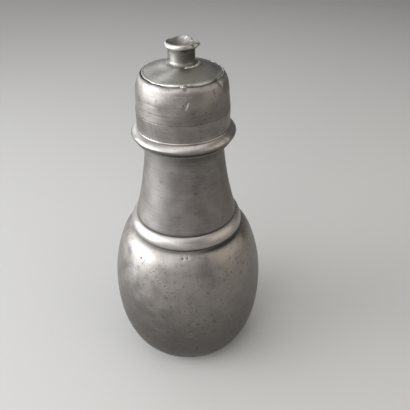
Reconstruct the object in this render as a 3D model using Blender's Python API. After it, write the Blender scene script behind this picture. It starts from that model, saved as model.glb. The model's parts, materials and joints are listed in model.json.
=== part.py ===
"""A turned pewter feeding bottle with a screw cap and a drinking nozzle.

Metres, +Z up. The bottle stands on z = 0 with its axis on the Z axis.
The cap's pieces are measured from the underside of the cap, where its parent empty sits.
"""

import math

import bmesh
import bpy

# Fits and fineness
GAP = 0.0003  # solder line or running clearance between two pieces
TURN_STEPS = 40  # flats round a full turn
SHARP_ANGLE = math.radians(35)  # steeper edges are drawn sharp
MERGE_DISTANCE = 0.000001  # points this close are one point

# Bowl, cast in two halves
BODY_RADIUS = 0.0390  # widest point of the belly
BASE_RADIUS = 0.0200  # where the bowl's curve meets the table
BELLY_HEIGHT = 0.0398  # height of the widest point
SHOULDER_RISE = 0.0378  # from the widest point to the ledge round the bead
LOWER_FULLNESS = 2.25  # 2 is an ellipse, more is squarer
UPPER_FULLNESS = 2.25  # power of the upper bowl's inward curve
SHOULDER_ROUND = 0.0066  # height below the ledge where the bowl starts to round off
SHOULDER_LEAN = 0.0047  # how far up the flank's line would run before it turns in
BODY_WALL = 0.0025
FLOOR_THICKNESS = 0.0032
FOOT_WIDTH = 0.0060  # flat ring that the bottle stands on
FOOT_RECESS = 0.0008  # hollow inside that ring
LAP_HEIGHT = 0.0040  # overlap of the two bowls at the belly

# Shoulder bead, a quarter-round ring over the joint of bowl and neck
LEDGE_WIDTH = 0.0021  # from the bead to where the bowl's curve would end
LEDGE_RISE = 0.0008
BEAD_HEIGHT = 0.0062
BEAD_PROUD = 0.0029  # how far the bead stands out from the neck's foot
BEAD_FOOT = 0.0007  # height of its foot, below its widest point
BEAD_UNDERCUT = 0.0005  # how far that foot slopes in
SEAT_MARGIN = 0.0005  # from the foot's edge in to the edge of its seat
JOINT_STEP = 0.0007  # rebate behind the bead

# Neck
NECK_HEIGHT = 0.0398
NECK_FLARE = 0.0066  # the foot's radius less the top's
NECK_CURVE = 1.62  # power of the flare
NECK_WALL = 0.0018

# Mouth, the threaded sleeve in the neck
MOUTH_RADIUS = 0.0163  # at the root of its thread
MOUTH_WALL = 0.0018
MOUTH_RISE = 0.0134  # above the neck
MOUTH_SEAT = 0.0100  # depth inside the neck

# Cap rim, with the moulded collar outside and the thread inside
THREAD_ROOM = 0.0014  # between the mouth and the rim's bore
RIM_WALL = 0.0035
RIM_LEAD = 0.0006  # bevel at the mouth of the bore
LOWER_FILLET_PROUD = 0.0009
LOWER_FILLET_HEIGHT = 0.0010
TORUS_PROUD = 0.0028
TORUS_RADIUS = 0.0024
UPPER_FILLET_PROUD = 0.00045
UPPER_FILLET_RADIUS = 0.00045
MOULDING_QUIRK = 0.0002  # sunk line between the lower fillet and the torus

# Leather washer, trapped in the cap above the mouth
WASHER_THICKNESS = 0.0023
WASHER_LIP = 0.0009  # how far it reaches past the bore that holds it in

# Cap skirt
SKIRT_HEIGHT = 0.01585
SKIRT_WALL = 0.0022
SKIRT_TAPER = 0.0005  # the radius lost towards the shoulder
FLANGE_THICKNESS = 0.0020  # presses on the washer
SHOULDER_WIDTH = 0.0028
SHOULDER_HEIGHT = 0.0085
SHOULDER_FULLNESS = 1.65  # under 2, so flatter than an ellipse

# Crown plate, let into the top of the skirt
CROWN_THICKNESS = 0.0018
CROWN_STAND = 0.0005  # its edge above the skirt's shoulder
CROWN_RISE = 0.0034
CROWN_CURVE = 1.3
CROWN_LEDGE = 0.0025  # width of the seat that carries it
CROWN_ROUND = 0.0004  # rounding of its edge

# Nozzle
NOZZLE_HEIGHT = 0.0086
NOZZLE_BORE = 0.0015  # radius of the milk hole
NOZZLE_SPIGOT = 0.0042  # radius of the plug through the crown
SPIGOT_TAIL = 0.0008  # below the crown
FLANGE_RADIUS = 0.0077
FLANGE_EDGE = 0.0003
FLANGE_MARGIN = 0.0002  # flat of the crown round the flange
STEM_RADIUS = 0.0058
STEM_START = 0.0021  # end of the fillet over the flange
LIP_RADIUS = 0.00715
LIP_WIDTH = 0.00156
LIP_HEIGHT = 0.00212
LIP_TURN = (150, -60)  # angles where its round meets the dish and the flare
FLARE_HEIGHT = 0.0017  # stem to the underside of the lip
FLARE_TURN = 112  # angle where the flare meets the lip
DISH_DEPTH = 0.0036
DISH_TURN = 330  # angle where the dish meets the lip

# Radii that follow from the fits, from the mouth outwards
mouth_bore = MOUTH_RADIUS - MOUTH_WALL
neck_bore = MOUTH_RADIUS + GAP
neck_top_radius = neck_bore + NECK_WALL
neck_foot_radius = neck_top_radius + NECK_FLARE
joint_radius = neck_foot_radius - JOINT_STEP
joint_bore = joint_radius - NECK_WALL
bead_bore = joint_radius + GAP
bead_radius = neck_foot_radius + BEAD_PROUD
ledge_radius = bead_radius + LEDGE_WIDTH
rim_bore = MOUTH_RADIUS + THREAD_ROOM
cap_radius = rim_bore + RIM_WALL
washer_radius = rim_bore + WASHER_LIP
pocket_radius = washer_radius + GAP
skirt_top_radius = cap_radius - SKIRT_TAPER
rebate_radius = skirt_top_radius - SHOULDER_WIDTH
crown_radius = rebate_radius - GAP
crown_hole = NOZZLE_SPIGOT + GAP
crown_flat_radius = FLANGE_RADIUS + FLANGE_MARGIN

# Heights on the bottle
ledge_height = BELLY_HEIGHT + SHOULDER_RISE
flank_top = ledge_height - SHOULDER_ROUND
bead_seat = ledge_height + LEDGE_RISE
bead_bottom = bead_seat + GAP
bead_middle = bead_bottom + BEAD_HEIGHT / 2
neck_foot = bead_bottom + BEAD_HEIGHT + GAP
neck_top = neck_foot + NECK_HEIGHT
mouth_top = neck_top + MOUTH_RISE
cap_bottom = neck_top + GAP

# Heights on the cap, from its underside
washer_seat = mouth_top - cap_bottom
washer_bottom = washer_seat + GAP
washer_top = washer_bottom + WASHER_THICKNESS
rim_top = washer_bottom + WASHER_THICKNESS / 2
skirt_bottom = rim_top + GAP
flange_bottom = washer_top + GAP
flange_top = flange_bottom + FLANGE_THICKNESS
shoulder_top = skirt_bottom + SKIRT_HEIGHT
shoulder_start = shoulder_top - SHOULDER_HEIGHT
crown_edge = shoulder_top + CROWN_STAND
crown_bottom = crown_edge - CROWN_THICKNESS
crown_seat = crown_bottom - GAP
nozzle_seat = crown_edge + CROWN_RISE
nozzle_bottom = nozzle_seat + GAP
nozzle_top = nozzle_bottom + NOZZLE_HEIGHT


def shares(count):
    """Count + 1 even shares from 0 to 1."""
    return [step / count for step in range(count + 1)]


def arc(center, radii, degrees, count):
    """Points of an elliptical arc in the profile plane; 0 degrees points away from the axis."""
    start, end = (math.radians(angle) for angle in degrees)
    angles = [start + (end - start) * share for share in shares(count)]
    return [
        (center[0] + radii[0] * math.cos(angle), center[1] + radii[1] * math.sin(angle))
        for angle in angles
    ]


def eased(start, corner, end, count):
    """A curve from start to end that leaves both along the lines to the corner."""
    points = []
    for share in shares(count):
        weights = ((1 - share) ** 2, 2 * share * (1 - share), share**2)
        places = zip(start, corner, end)
        points.append(tuple(sum(w * c for w, c in zip(weights, place)) for place in places))
    return points


def pewter(name, color, roughness):
    material = bpy.data.materials.new(name)
    material.use_nodes = True
    surface = material.node_tree.nodes["Principled BSDF"]
    surface.inputs["Base Color"].default_value = (*color, 1.0)
    surface.inputs["Metallic"].default_value = 1.0
    surface.inputs["Roughness"].default_value = roughness
    return material


def leather(name, color):
    material = bpy.data.materials.new(name)
    material.use_nodes = True
    surface = material.node_tree.nodes["Principled BSDF"]
    surface.inputs["Base Color"].default_value = (*color, 1.0)
    surface.inputs["Roughness"].default_value = 0.8
    return material


def axis_empty(name, height):
    empty = bpy.data.objects.new(name, None)
    empty.location.z = height
    bpy.context.collection.objects.link(empty)
    return empty


def turned(name, profile, material, parent, ring=True):
    """A solid of revolution: a ring has a closed profile, a bowl's starts and ends on the axis."""
    shape = bmesh.new()
    points = [shape.verts.new((radius, 0.0, height)) for radius, height in profile]
    edges = [shape.edges.new(pair) for pair in zip(points, points[1:])]
    if ring:
        edges.append(shape.edges.new((points[-1], points[0])))
    bmesh.ops.spin(
        shape,
        geom=points + edges,
        cent=(0.0, 0.0, 0.0),
        axis=(0.0, 0.0, 1.0),
        angle=math.tau,
        steps=TURN_STEPS,
        use_merge=True,
    )
    bmesh.ops.remove_doubles(shape, verts=shape.verts, dist=MERGE_DISTANCE)
    bmesh.ops.recalc_face_normals(shape, faces=shape.faces)
    mesh = bpy.data.meshes.new(name)
    shape.to_mesh(mesh)
    shape.free()
    mesh.shade_smooth()
    mesh.set_sharp_from_angle(angle=SHARP_ANGLE)
    mesh.materials.append(material)
    piece = bpy.data.objects.new(name, mesh)
    piece.parent = parent
    bpy.context.collection.objects.link(piece)
    return piece


def superellipse(center, reach, fullness, count):
    """A quarter of a superellipse, from straight above or below its centre to straight out."""
    points = []
    for share in shares(count):
        angle = share * math.pi / 2
        out = math.sin(angle) ** (2 / fullness)
        along = math.cos(angle) ** (2 / fullness)
        points.append((center[0] + reach[0] * out, center[1] + reach[1] * along))
    return points


def upper_radius(height):
    """Outer radius of the bowl above the belly."""
    share = (height - BELLY_HEIGHT) / SHOULDER_RISE
    return BODY_RADIUS - (BODY_RADIUS - ledge_radius) * share**UPPER_FULLNESS


def upper_slope(height):
    """Radius lost for each metre of height there."""
    share = (height - BELLY_HEIGHT) / SHOULDER_RISE
    return (BODY_RADIUS - ledge_radius) / SHOULDER_RISE * UPPER_FULLNESS * share ** (UPPER_FULLNESS - 1)


def lower_bowl(parent, material):
    lap_radius = BODY_RADIUS - BODY_WALL / 2 - GAP / 2
    outer_edge = BELLY_HEIGHT - GAP / 2
    tongue_top = BELLY_HEIGHT + LAP_HEIGHT
    bore = BODY_RADIUS - BODY_WALL
    sweep = BODY_RADIUS - BASE_RADIUS
    inner_center = (BASE_RADIUS - BODY_WALL, BELLY_HEIGHT)
    inside = superellipse(inner_center, (sweep, FLOOR_THICKNESS - BELLY_HEIGHT), LOWER_FULLNESS, 7)
    outside = superellipse((BASE_RADIUS, BELLY_HEIGHT), (sweep, -BELLY_HEIGHT), LOWER_FULLNESS, 11)
    recess_radius = BASE_RADIUS - FOOT_WIDTH
    profile = [(0.0, FLOOR_THICKNESS), *inside]
    profile += [(bore, tongue_top), (lap_radius, tongue_top), (lap_radius, outer_edge)]
    profile += [(BODY_RADIUS, outer_edge), *reversed(outside[:-1])]
    profile += [(recess_radius, 0.0), (recess_radius - FOOT_RECESS, FOOT_RECESS), (0.0, FOOT_RECESS)]
    return turned("lower_bowl", profile, material, parent, ring=False)


def upper_bowl(parent, material):
    lap_radius = BODY_RADIUS - BODY_WALL / 2 + GAP / 2
    outer_edge = BELLY_HEIGHT + GAP / 2
    lap_top = BELLY_HEIGHT + LAP_HEIGHT + GAP
    collar_top = bead_middle - GAP / 2
    inside = [lap_top + (flank_top - lap_top) * share for share in shares(5)]
    outside = [outer_edge + (flank_top - outer_edge) * share for share in shares(8)]
    seat_edge = (bead_radius - BEAD_UNDERCUT - SEAT_MARGIN, bead_seat)
    flank_end = (upper_radius(flank_top), flank_top)
    corner = (flank_end[0] - SHOULDER_LEAN * upper_slope(flank_top), flank_top + SHOULDER_LEAN)
    profile = [(joint_radius, collar_top), (joint_radius, bead_seat)]
    profile += eased(seat_edge, corner, flank_end, 6)
    profile += [(upper_radius(height), height) for height in reversed(outside[:-1])]
    profile += [(lap_radius, outer_edge), (lap_radius, lap_top)]
    profile += [(upper_radius(height) - BODY_WALL, height) for height in inside]
    profile += [(joint_bore, bead_seat - BODY_WALL), (joint_bore, collar_top)]
    return turned("upper_bowl", profile, material, parent)


def shoulder_bead(parent, material):
    reach = (bead_radius - bead_bore, BEAD_HEIGHT - BEAD_FOOT)
    profile = arc((bead_bore, bead_bottom + BEAD_FOOT), reach, (90, 0), 9)
    profile += [(bead_radius - BEAD_UNDERCUT, bead_bottom), (bead_bore, bead_bottom)]
    return turned("shoulder_bead", profile, material, parent)


def neck_radius(height):
    """Outer radius of the neck, flaring towards its foot."""
    share = (neck_top - height) / NECK_HEIGHT
    return neck_top_radius + NECK_FLARE * share**NECK_CURVE


def neck(parent, material):
    bore_end = neck_top - MOUTH_SEAT - GAP
    joint_top = bead_middle + GAP / 2
    outside = [neck_top - NECK_HEIGHT * share for share in shares(9)]
    inside = [neck_foot + (bore_end - neck_foot) * share for share in shares(5)]
    profile = [(neck_radius(height), height) for height in outside]
    profile += [(joint_radius, neck_foot), (joint_radius, joint_top), (joint_bore, joint_top)]
    profile += [(neck_radius(height) - NECK_WALL, height) for height in inside[:-1]]
    profile += [(mouth_bore, bore_end), (neck_bore, bore_end), (neck_bore, neck_top)]
    return turned("neck", profile, material, parent)


def threaded_mouth(parent, material):
    bottom = neck_top - MOUTH_SEAT
    edge = MOUTH_WALL / 4
    profile = [(MOUTH_RADIUS - edge, mouth_top), (MOUTH_RADIUS, mouth_top - edge), (MOUTH_RADIUS, bottom)]
    profile += [(mouth_bore, bottom), (mouth_bore, mouth_top - edge), (mouth_bore + edge, mouth_top)]
    return turned("threaded_mouth", profile, material, parent)


def leather_washer(parent, material):
    profile = [(washer_radius, washer_top), (washer_radius, washer_bottom)]
    profile += [(mouth_bore, washer_bottom), (mouth_bore, washer_top)]
    return turned("leather_washer", profile, material, parent)


def cap_rim(parent, material):
    fillet_radius = cap_radius + LOWER_FILLET_PROUD
    torus_middle = LOWER_FILLET_HEIGHT + MOULDING_QUIRK + TORUS_RADIUS
    torus_center = (cap_radius + TORUS_PROUD - TORUS_RADIUS, torus_middle)
    bead_center_height = torus_middle + TORUS_RADIUS + UPPER_FILLET_RADIUS
    bead_reach = (UPPER_FILLET_PROUD, UPPER_FILLET_RADIUS)
    profile = [(cap_radius, rim_top)]
    profile += arc((cap_radius, bead_center_height), bead_reach, (90, -90), 5)
    profile += arc(torus_center, (TORUS_RADIUS, TORUS_RADIUS), (80, -80), 9)
    profile += [(fillet_radius, LOWER_FILLET_HEIGHT), (fillet_radius, 0.0)]
    profile += [(rim_bore + RIM_LEAD, 0.0), (rim_bore, RIM_LEAD), (rim_bore, washer_seat)]
    profile += [(pocket_radius, washer_seat), (pocket_radius, rim_top)]
    return turned("cap_rim", profile, material, parent)


def cap_skirt(parent, material):
    chamber_radius = cap_radius - SKIRT_WALL
    opening = crown_radius - CROWN_LEDGE
    roof_radius = skirt_top_radius - SKIRT_WALL
    shoulder_reach = (SHOULDER_WIDTH, SHOULDER_HEIGHT)
    shoulder = superellipse((rebate_radius, shoulder_start), shoulder_reach, SHOULDER_FULLNESS, 7)
    profile = [(rebate_radius, crown_seat), *shoulder, (cap_radius, skirt_bottom)]
    profile += [(pocket_radius, skirt_bottom), (pocket_radius, flange_bottom)]
    profile += [(mouth_bore, flange_bottom), (mouth_bore, flange_top), (chamber_radius, flange_top)]
    profile += [(roof_radius, shoulder_start), (opening, crown_seat - SKIRT_WALL), (opening, crown_seat)]
    return turned("cap_skirt", profile, material, parent)


def cap_crown(parent, material):
    slope_start = crown_radius - 2 * CROWN_ROUND
    run = slope_start - crown_flat_radius
    slope = [
        (crown_flat_radius + run * share, crown_edge + CROWN_RISE * (1 - share**CROWN_CURVE))
        for share in shares(5)
    ]
    seat_edge = crown_radius - CROWN_LEDGE - GAP
    rounding_center = (crown_radius - CROWN_ROUND, crown_edge - CROWN_ROUND)
    profile = [(crown_hole, nozzle_seat), *slope[:-1]]
    profile += arc(rounding_center, (CROWN_ROUND, CROWN_ROUND), (90, 0), 4)
    profile += [(crown_radius, crown_bottom), (seat_edge, crown_bottom)]
    profile += [(crown_flat_radius, nozzle_seat - CROWN_THICKNESS), (crown_hole, nozzle_seat - CROWN_THICKNESS)]
    return turned("cap_crown", profile, material, parent)


def nozzle(parent, material):
    tail = nozzle_seat - CROWN_THICKNESS - SPIGOT_TAIL
    fillet_top = nozzle_bottom + STEM_START
    fillet_bottom = nozzle_bottom + FLANGE_EDGE
    fillet_reach = (FLANGE_RADIUS - STEM_RADIUS, fillet_top - fillet_bottom)
    lip_reach = (LIP_WIDTH / 2, LIP_HEIGHT / 2)
    lip = arc((LIP_RADIUS - lip_reach[0], nozzle_top - lip_reach[1]), lip_reach, LIP_TURN, 7)

    flare_angle = math.radians(FLARE_TURN)
    flare_top = lip[-1]
    flare_width = (flare_top[0] - STEM_RADIUS) / (1 + math.cos(flare_angle))
    flare_reach = (flare_width, FLARE_HEIGHT / math.sin(flare_angle))
    flare_center = (STEM_RADIUS + flare_width, flare_top[1] - FLARE_HEIGHT)

    dish_angle = math.radians(DISH_TURN)
    dish_edge = lip[0]
    dish_floor = nozzle_top - DISH_DEPTH
    dish_rise = (dish_edge[1] - dish_floor) / (1 + math.sin(dish_angle))
    dish_reach = ((dish_edge[0] - NOZZLE_BORE) / math.cos(dish_angle), dish_rise)
    dish_center = (NOZZLE_BORE, dish_floor + dish_rise)

    profile = lip + arc(flare_center, flare_reach, (FLARE_TURN, 180), 5)[1:]
    profile += arc((FLANGE_RADIUS, fillet_top), fillet_reach, (180, 270), 5)
    profile += [(FLANGE_RADIUS, nozzle_bottom), (NOZZLE_SPIGOT, nozzle_bottom), (NOZZLE_SPIGOT, tail)]
    profile += [(NOZZLE_BORE, tail)]
    profile += arc(dish_center, dish_reach, (270, DISH_TURN), 5)[:-1]
    return turned("nozzle", profile, material, parent)


def build():
    for old in list(bpy.data.objects):
        bpy.data.objects.remove(old, do_unlink=True)
    bottle_axis = axis_empty("bottle_axis", 0.0)
    cap_axis = axis_empty("cap_axis", cap_bottom)
    lower_bowl(bottle_axis, pewter("worn_pewter_belly", (0.42, 0.41, 0.39), 0.34))
    upper_bowl(bottle_axis, pewter("worn_pewter_shoulder", (0.44, 0.43, 0.41), 0.34))
    shoulder_bead(bottle_axis, pewter("rubbed_pewter_bead", (0.48, 0.47, 0.44), 0.30))
    neck(bottle_axis, pewter("dull_pewter_neck", (0.40, 0.39, 0.37), 0.48))
    threaded_mouth(bottle_axis, pewter("bright_pewter_thread", (0.52, 0.50, 0.47), 0.32))
    leather_washer(cap_axis, leather("oiled_leather", (0.16, 0.09, 0.05)))
    cap_rim(cap_axis, pewter("rubbed_pewter_collar", (0.46, 0.45, 0.42), 0.36))
    cap_skirt(cap_axis, pewter("pitted_pewter_cap", (0.47, 0.46, 0.43), 0.33))
    cap_crown(cap_axis, pewter("worn_pewter_crown", (0.45, 0.44, 0.42), 0.36))
    nozzle(cap_axis, pewter("battered_pewter_nozzle", (0.48, 0.46, 0.43), 0.36))


build()
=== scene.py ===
import json
import math

import bmesh
import bpy
import numpy as np
from mathutils import Matrix, Vector
from mathutils.kdtree import KDTree

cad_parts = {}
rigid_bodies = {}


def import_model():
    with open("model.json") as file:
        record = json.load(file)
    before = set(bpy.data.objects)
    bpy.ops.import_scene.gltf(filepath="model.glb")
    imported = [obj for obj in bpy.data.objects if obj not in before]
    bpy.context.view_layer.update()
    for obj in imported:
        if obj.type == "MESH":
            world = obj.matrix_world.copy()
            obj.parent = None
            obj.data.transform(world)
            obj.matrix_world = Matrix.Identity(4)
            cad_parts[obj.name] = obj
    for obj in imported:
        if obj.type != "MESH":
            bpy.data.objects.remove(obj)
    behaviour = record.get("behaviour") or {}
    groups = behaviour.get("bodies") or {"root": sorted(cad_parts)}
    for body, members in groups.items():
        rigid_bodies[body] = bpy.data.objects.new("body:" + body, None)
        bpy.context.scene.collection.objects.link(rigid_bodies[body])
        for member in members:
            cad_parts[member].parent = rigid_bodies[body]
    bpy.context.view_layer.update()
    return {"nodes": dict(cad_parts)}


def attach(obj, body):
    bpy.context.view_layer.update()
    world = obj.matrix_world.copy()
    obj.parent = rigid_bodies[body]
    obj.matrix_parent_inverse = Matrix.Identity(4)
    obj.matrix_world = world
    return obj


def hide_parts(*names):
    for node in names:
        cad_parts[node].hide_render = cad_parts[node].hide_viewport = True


for old in list(bpy.data.objects):
    bpy.data.objects.remove(old, do_unlink=True)
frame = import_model()
mm = 0.001
print("frame loaded:", ", ".join(sorted(frame["nodes"])))


def link(thing):
    bpy.context.scene.collection.objects.link(thing)
    return thing


# the camera looks down on the bottle, as in the photograph
view = {
    "place": (0.0, -0.2078, 0.2319),
    "tilt": 35.11,  # degrees down
    "swing": 2.63,  # degrees towards +X
    "roll": -0.31,
    "lens": 43.9024,
    "sensor": 36.0,
    "clip": 0.01,
}


def makeCamera():
    tilt, swing, roll = (math.radians(view[key]) for key in ("tilt", "swing", "roll"))
    forward = Vector((math.sin(swing) * math.cos(tilt), math.cos(swing) * math.cos(tilt), -math.sin(tilt)))
    level = Vector((math.cos(swing), -math.sin(swing), 0.0))
    upright = level.cross(forward)
    right = level * math.cos(roll) + upright * math.sin(roll)
    up = upright * math.cos(roll) - level * math.sin(roll)
    lens = bpy.data.cameras.new("photoCamera")
    lens.lens = view["lens"]
    lens.sensor_width = view["sensor"]
    lens.clip_start = view["clip"]
    eye = link(bpy.data.objects.new("photoCamera", lens))
    turn = Matrix((right, up, -forward)).transposed().to_4x4()
    eye.matrix_world = Matrix.Translation(view["place"]) @ turn
    bpy.context.scene.camera = eye


makeCamera()
print("camera placed")


# node helpers, shared by the geometry trees and the finishes
def pick(sockets, name):
    return next(socket for socket in sockets if socket.name == name and socket.enabled)


def feed(tree, socket, value):
    if isinstance(value, bpy.types.NodeSocket):
        tree.links.new(value, socket)
    else:
        socket.default_value = value


def node(tree, kind, feeds=None, **settings):
    made = tree.nodes.new(kind)
    for key, value in settings.items():
        setattr(made, key, value)
    for key, value in (feeds or {}).items():
        feed(tree, made.inputs[key] if isinstance(key, int) else pick(made.inputs, key), value)
    return made


def calc(tree, operation, *values):
    return node(tree, "ShaderNodeMath", dict(enumerate(values)), operation=operation).outputs[0]


def plus(tree, first, second):
    return calc(tree, "ADD", first, second)


def minus(tree, first, second):
    return calc(tree, "SUBTRACT", first, second)


def times(tree, first, second):
    return calc(tree, "MULTIPLY", first, second)


def over(tree, first, second):
    return calc(tree, "DIVIDE", first, second)


def timesPlus(tree, value, factor, more):
    return calc(tree, "MULTIPLY_ADD", value, factor, more)


def vectorCalc(tree, operation, *values):
    made = node(tree, "ShaderNodeVectorMath", dict(enumerate(values)), operation=operation)
    return made.outputs["Value" if operation == "LENGTH" else "Vector"]


def scaled(tree, vector, amount):
    feeds = {"Vector": vector, "Scale": amount}
    return node(tree, "ShaderNodeVectorMath", feeds, operation="SCALE").outputs["Vector"]


def parts(tree, vector):
    return node(tree, "ShaderNodeSeparateXYZ", {0: vector}).outputs


def joined(tree, x, y, z):
    return node(tree, "ShaderNodeCombineXYZ", {0: x, 1: y, 2: z}).outputs[0]


def rangeMap(tree, value, low, high, toLow=0.0, toHigh=1.0, smooth=True):
    feeds = {"Value": value, "From Min": low, "From Max": high, "To Min": toLow, "To Max": toHigh}
    kind = "SMOOTHSTEP" if smooth else "LINEAR"
    return node(tree, "ShaderNodeMapRange", feeds, interpolation_type=kind).outputs["Result"]


def noise(tree, vector, scale, detail=2.0, rough=0.5):
    feeds = {"Vector": vector, "Scale": scale, "Detail": detail, "Roughness": rough}
    return node(tree, "ShaderNodeTexNoise", feeds).outputs["Fac"]


# geometry trees
def makeTree(name, inputs):
    tree = bpy.data.node_groups.new(name, "GeometryNodeTree")
    tree.interface.new_socket("Geometry", in_out="INPUT", socket_type="NodeSocketGeometry")
    for label, kind in inputs.items():
        tree.interface.new_socket(label, in_out="INPUT", socket_type="NodeSocket" + kind)
    tree.interface.new_socket("Geometry", in_out="OUTPUT", socket_type="NodeSocketGeometry")
    return tree, tree.nodes.new("NodeGroupInput").outputs


def shape(tree, kind, feeds=None, **settings):
    return node(tree, "GeometryNode" + kind, feeds, **settings).outputs[0]


def endTree(tree, geometry, finish):
    solid = shape(tree, "RealizeInstances", {"Geometry": geometry})
    dressed = shape(tree, "SetMaterial", {"Geometry": solid, "Material": finish})
    tree.links.new(dressed, tree.nodes.new("NodeGroupOutput").inputs[0])
    return tree


def sampled(tree, geometry, value, index, kind="FLOAT"):
    feeds = {"Geometry": geometry, "Value": value, "Index": index}
    return node(tree, "GeometryNodeSampleIndex", feeds, data_type=kind).outputs["Value"]


def stored(tree, geometry, name, value):
    feeds = {"Geometry": geometry, "Name": name, "Value": value}
    return shape(tree, "StoreNamedAttribute", feeds, data_type="FLOAT")


def named(tree, name):
    return node(tree, "GeometryNodeInputNamedAttribute", {"Name": name}).outputs["Attribute"]


def latheTree():  # turns a row of points (radius, 0, height) round the Z axis
    tree, given = makeTree("lathe", {"Turn steps": "Int", "Closed path": "Int", "Finish": "Material"})
    sizes = node(tree, "GeometryNodeAttributeDomainSize", {"Geometry": given["Geometry"]})
    count = sizes.outputs["Point Count"]
    rows = plus(tree, count, given["Closed path"])
    columns = plus(tree, given["Turn steps"], 1.0)
    grid = shape(tree, "MeshGrid", {"Vertices X": columns, "Vertices Y": rows})
    index = shape(tree, "InputIndex")
    column = calc(tree, "FLOOR", over(tree, index, rows))
    row = minus(tree, index, times(tree, column, rows))
    pointRow = calc(tree, "MODULO", row, count)
    spot = shape(tree, "InputPosition")
    point = parts(tree, sampled(tree, given["Geometry"], spot, pointRow, "FLOAT_VECTOR"))
    skin = sampled(tree, given["Geometry"], named(tree, "skin"), pointRow)
    angle = over(tree, times(tree, column, math.tau), given["Turn steps"])
    across = times(tree, point["X"], calc(tree, "COSINE", angle))
    along = times(tree, point["X"], calc(tree, "SINE", angle))
    turned = joined(tree, across, along, point["Z"])
    skinned = stored(tree, grid, "skin", skin)
    placed = shape(tree, "SetPosition", {"Geometry": skinned, "Position": turned})
    weld = 0.001 * mm  # joins the first and last columns, and the points on the axis
    closed = shape(tree, "MergeByDistance", {"Geometry": placed, "Distance": weld})
    return endTree(tree, closed, given["Finish"])


def pitTree():  # presses a pit into the surface under every spot
    tree, given = makeTree("pits", {"Spots": "Object", "Depth share": "Float", "Finish": "Material"})
    spots = node(tree, "GeometryNodeObjectInfo", {"Object": given["Spots"]}).outputs["Geometry"]
    spot = shape(tree, "InputPosition")
    nearest = shape(tree, "SampleNearest", {"Geometry": spots, "Sample Position": spot})
    middle = sampled(tree, spots, spot, nearest, "FLOAT_VECTOR")
    reach = sampled(tree, spots, named(tree, "reach"), nearest)
    away = vectorCalc(tree, "LENGTH", vectorCalc(tree, "SUBTRACT", spot, middle))
    hollow = rangeMap(tree, over(tree, away, reach), 1.0, 0.0)
    depth = times(tree, times(tree, reach, given["Depth share"]), hollow)
    push = scaled(tree, shape(tree, "InputNormal"), times(tree, depth, -1.0))
    marked = stored(tree, given["Geometry"], "pit", hollow)
    pressed = shape(tree, "SetPosition", {"Geometry": marked, "Offset": push})
    return endTree(tree, pressed, given["Finish"])


def threadTree():  # raises a right-handed screw ridge on a turned tube
    lengths = ["Pitch", "Ridge height", "Ridge base", "Ridge crest", "Bottom", "Top", "Run-out"]
    lengths += ["Phase", "Inner", "Outer"]
    tree, given = makeTree("screwThread", {**dict.fromkeys(lengths, "Float"), "Finish": "Material"})
    point = parts(tree, shape(tree, "InputPosition"))
    turn = over(tree, calc(tree, "ARCTAN2", point["Y"], point["X"]), math.tau)
    rise = over(tree, minus(tree, point["Z"], given["Bottom"]), given["Pitch"])
    lap = calc(tree, "FRACT", plus(tree, minus(tree, rise, turn), given["Phase"]))
    away = times(tree, calc(tree, "ABSOLUTE", minus(tree, lap, 0.5)), given["Pitch"])
    halfBase = over(tree, given["Ridge base"], 2.0)
    halfCrest = over(tree, given["Ridge crest"], 2.0)
    ridge = rangeMap(tree, away, halfBase, halfCrest)
    start = rangeMap(tree, point["Z"], given["Bottom"], plus(tree, given["Bottom"], given["Run-out"]))
    end = rangeMap(tree, point["Z"], given["Top"], minus(tree, given["Top"], given["Run-out"]))
    height = times(tree, times(tree, ridge, start), end)
    level = joined(tree, point["X"], point["Y"], 0.0)
    radius = vectorCalc(tree, "LENGTH", level)
    above = calc(tree, "GREATER_THAN", radius, given["Inner"])
    below = calc(tree, "LESS_THAN", radius, given["Outer"])
    push = scaled(tree, vectorCalc(tree, "NORMALIZE", level), times(tree, height, given["Ridge height"]))
    feeds = {"Geometry": given["Geometry"], "Selection": times(tree, above, below), "Offset": push}
    return endTree(tree, shape(tree, "SetPosition", feeds), given["Finish"])


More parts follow.
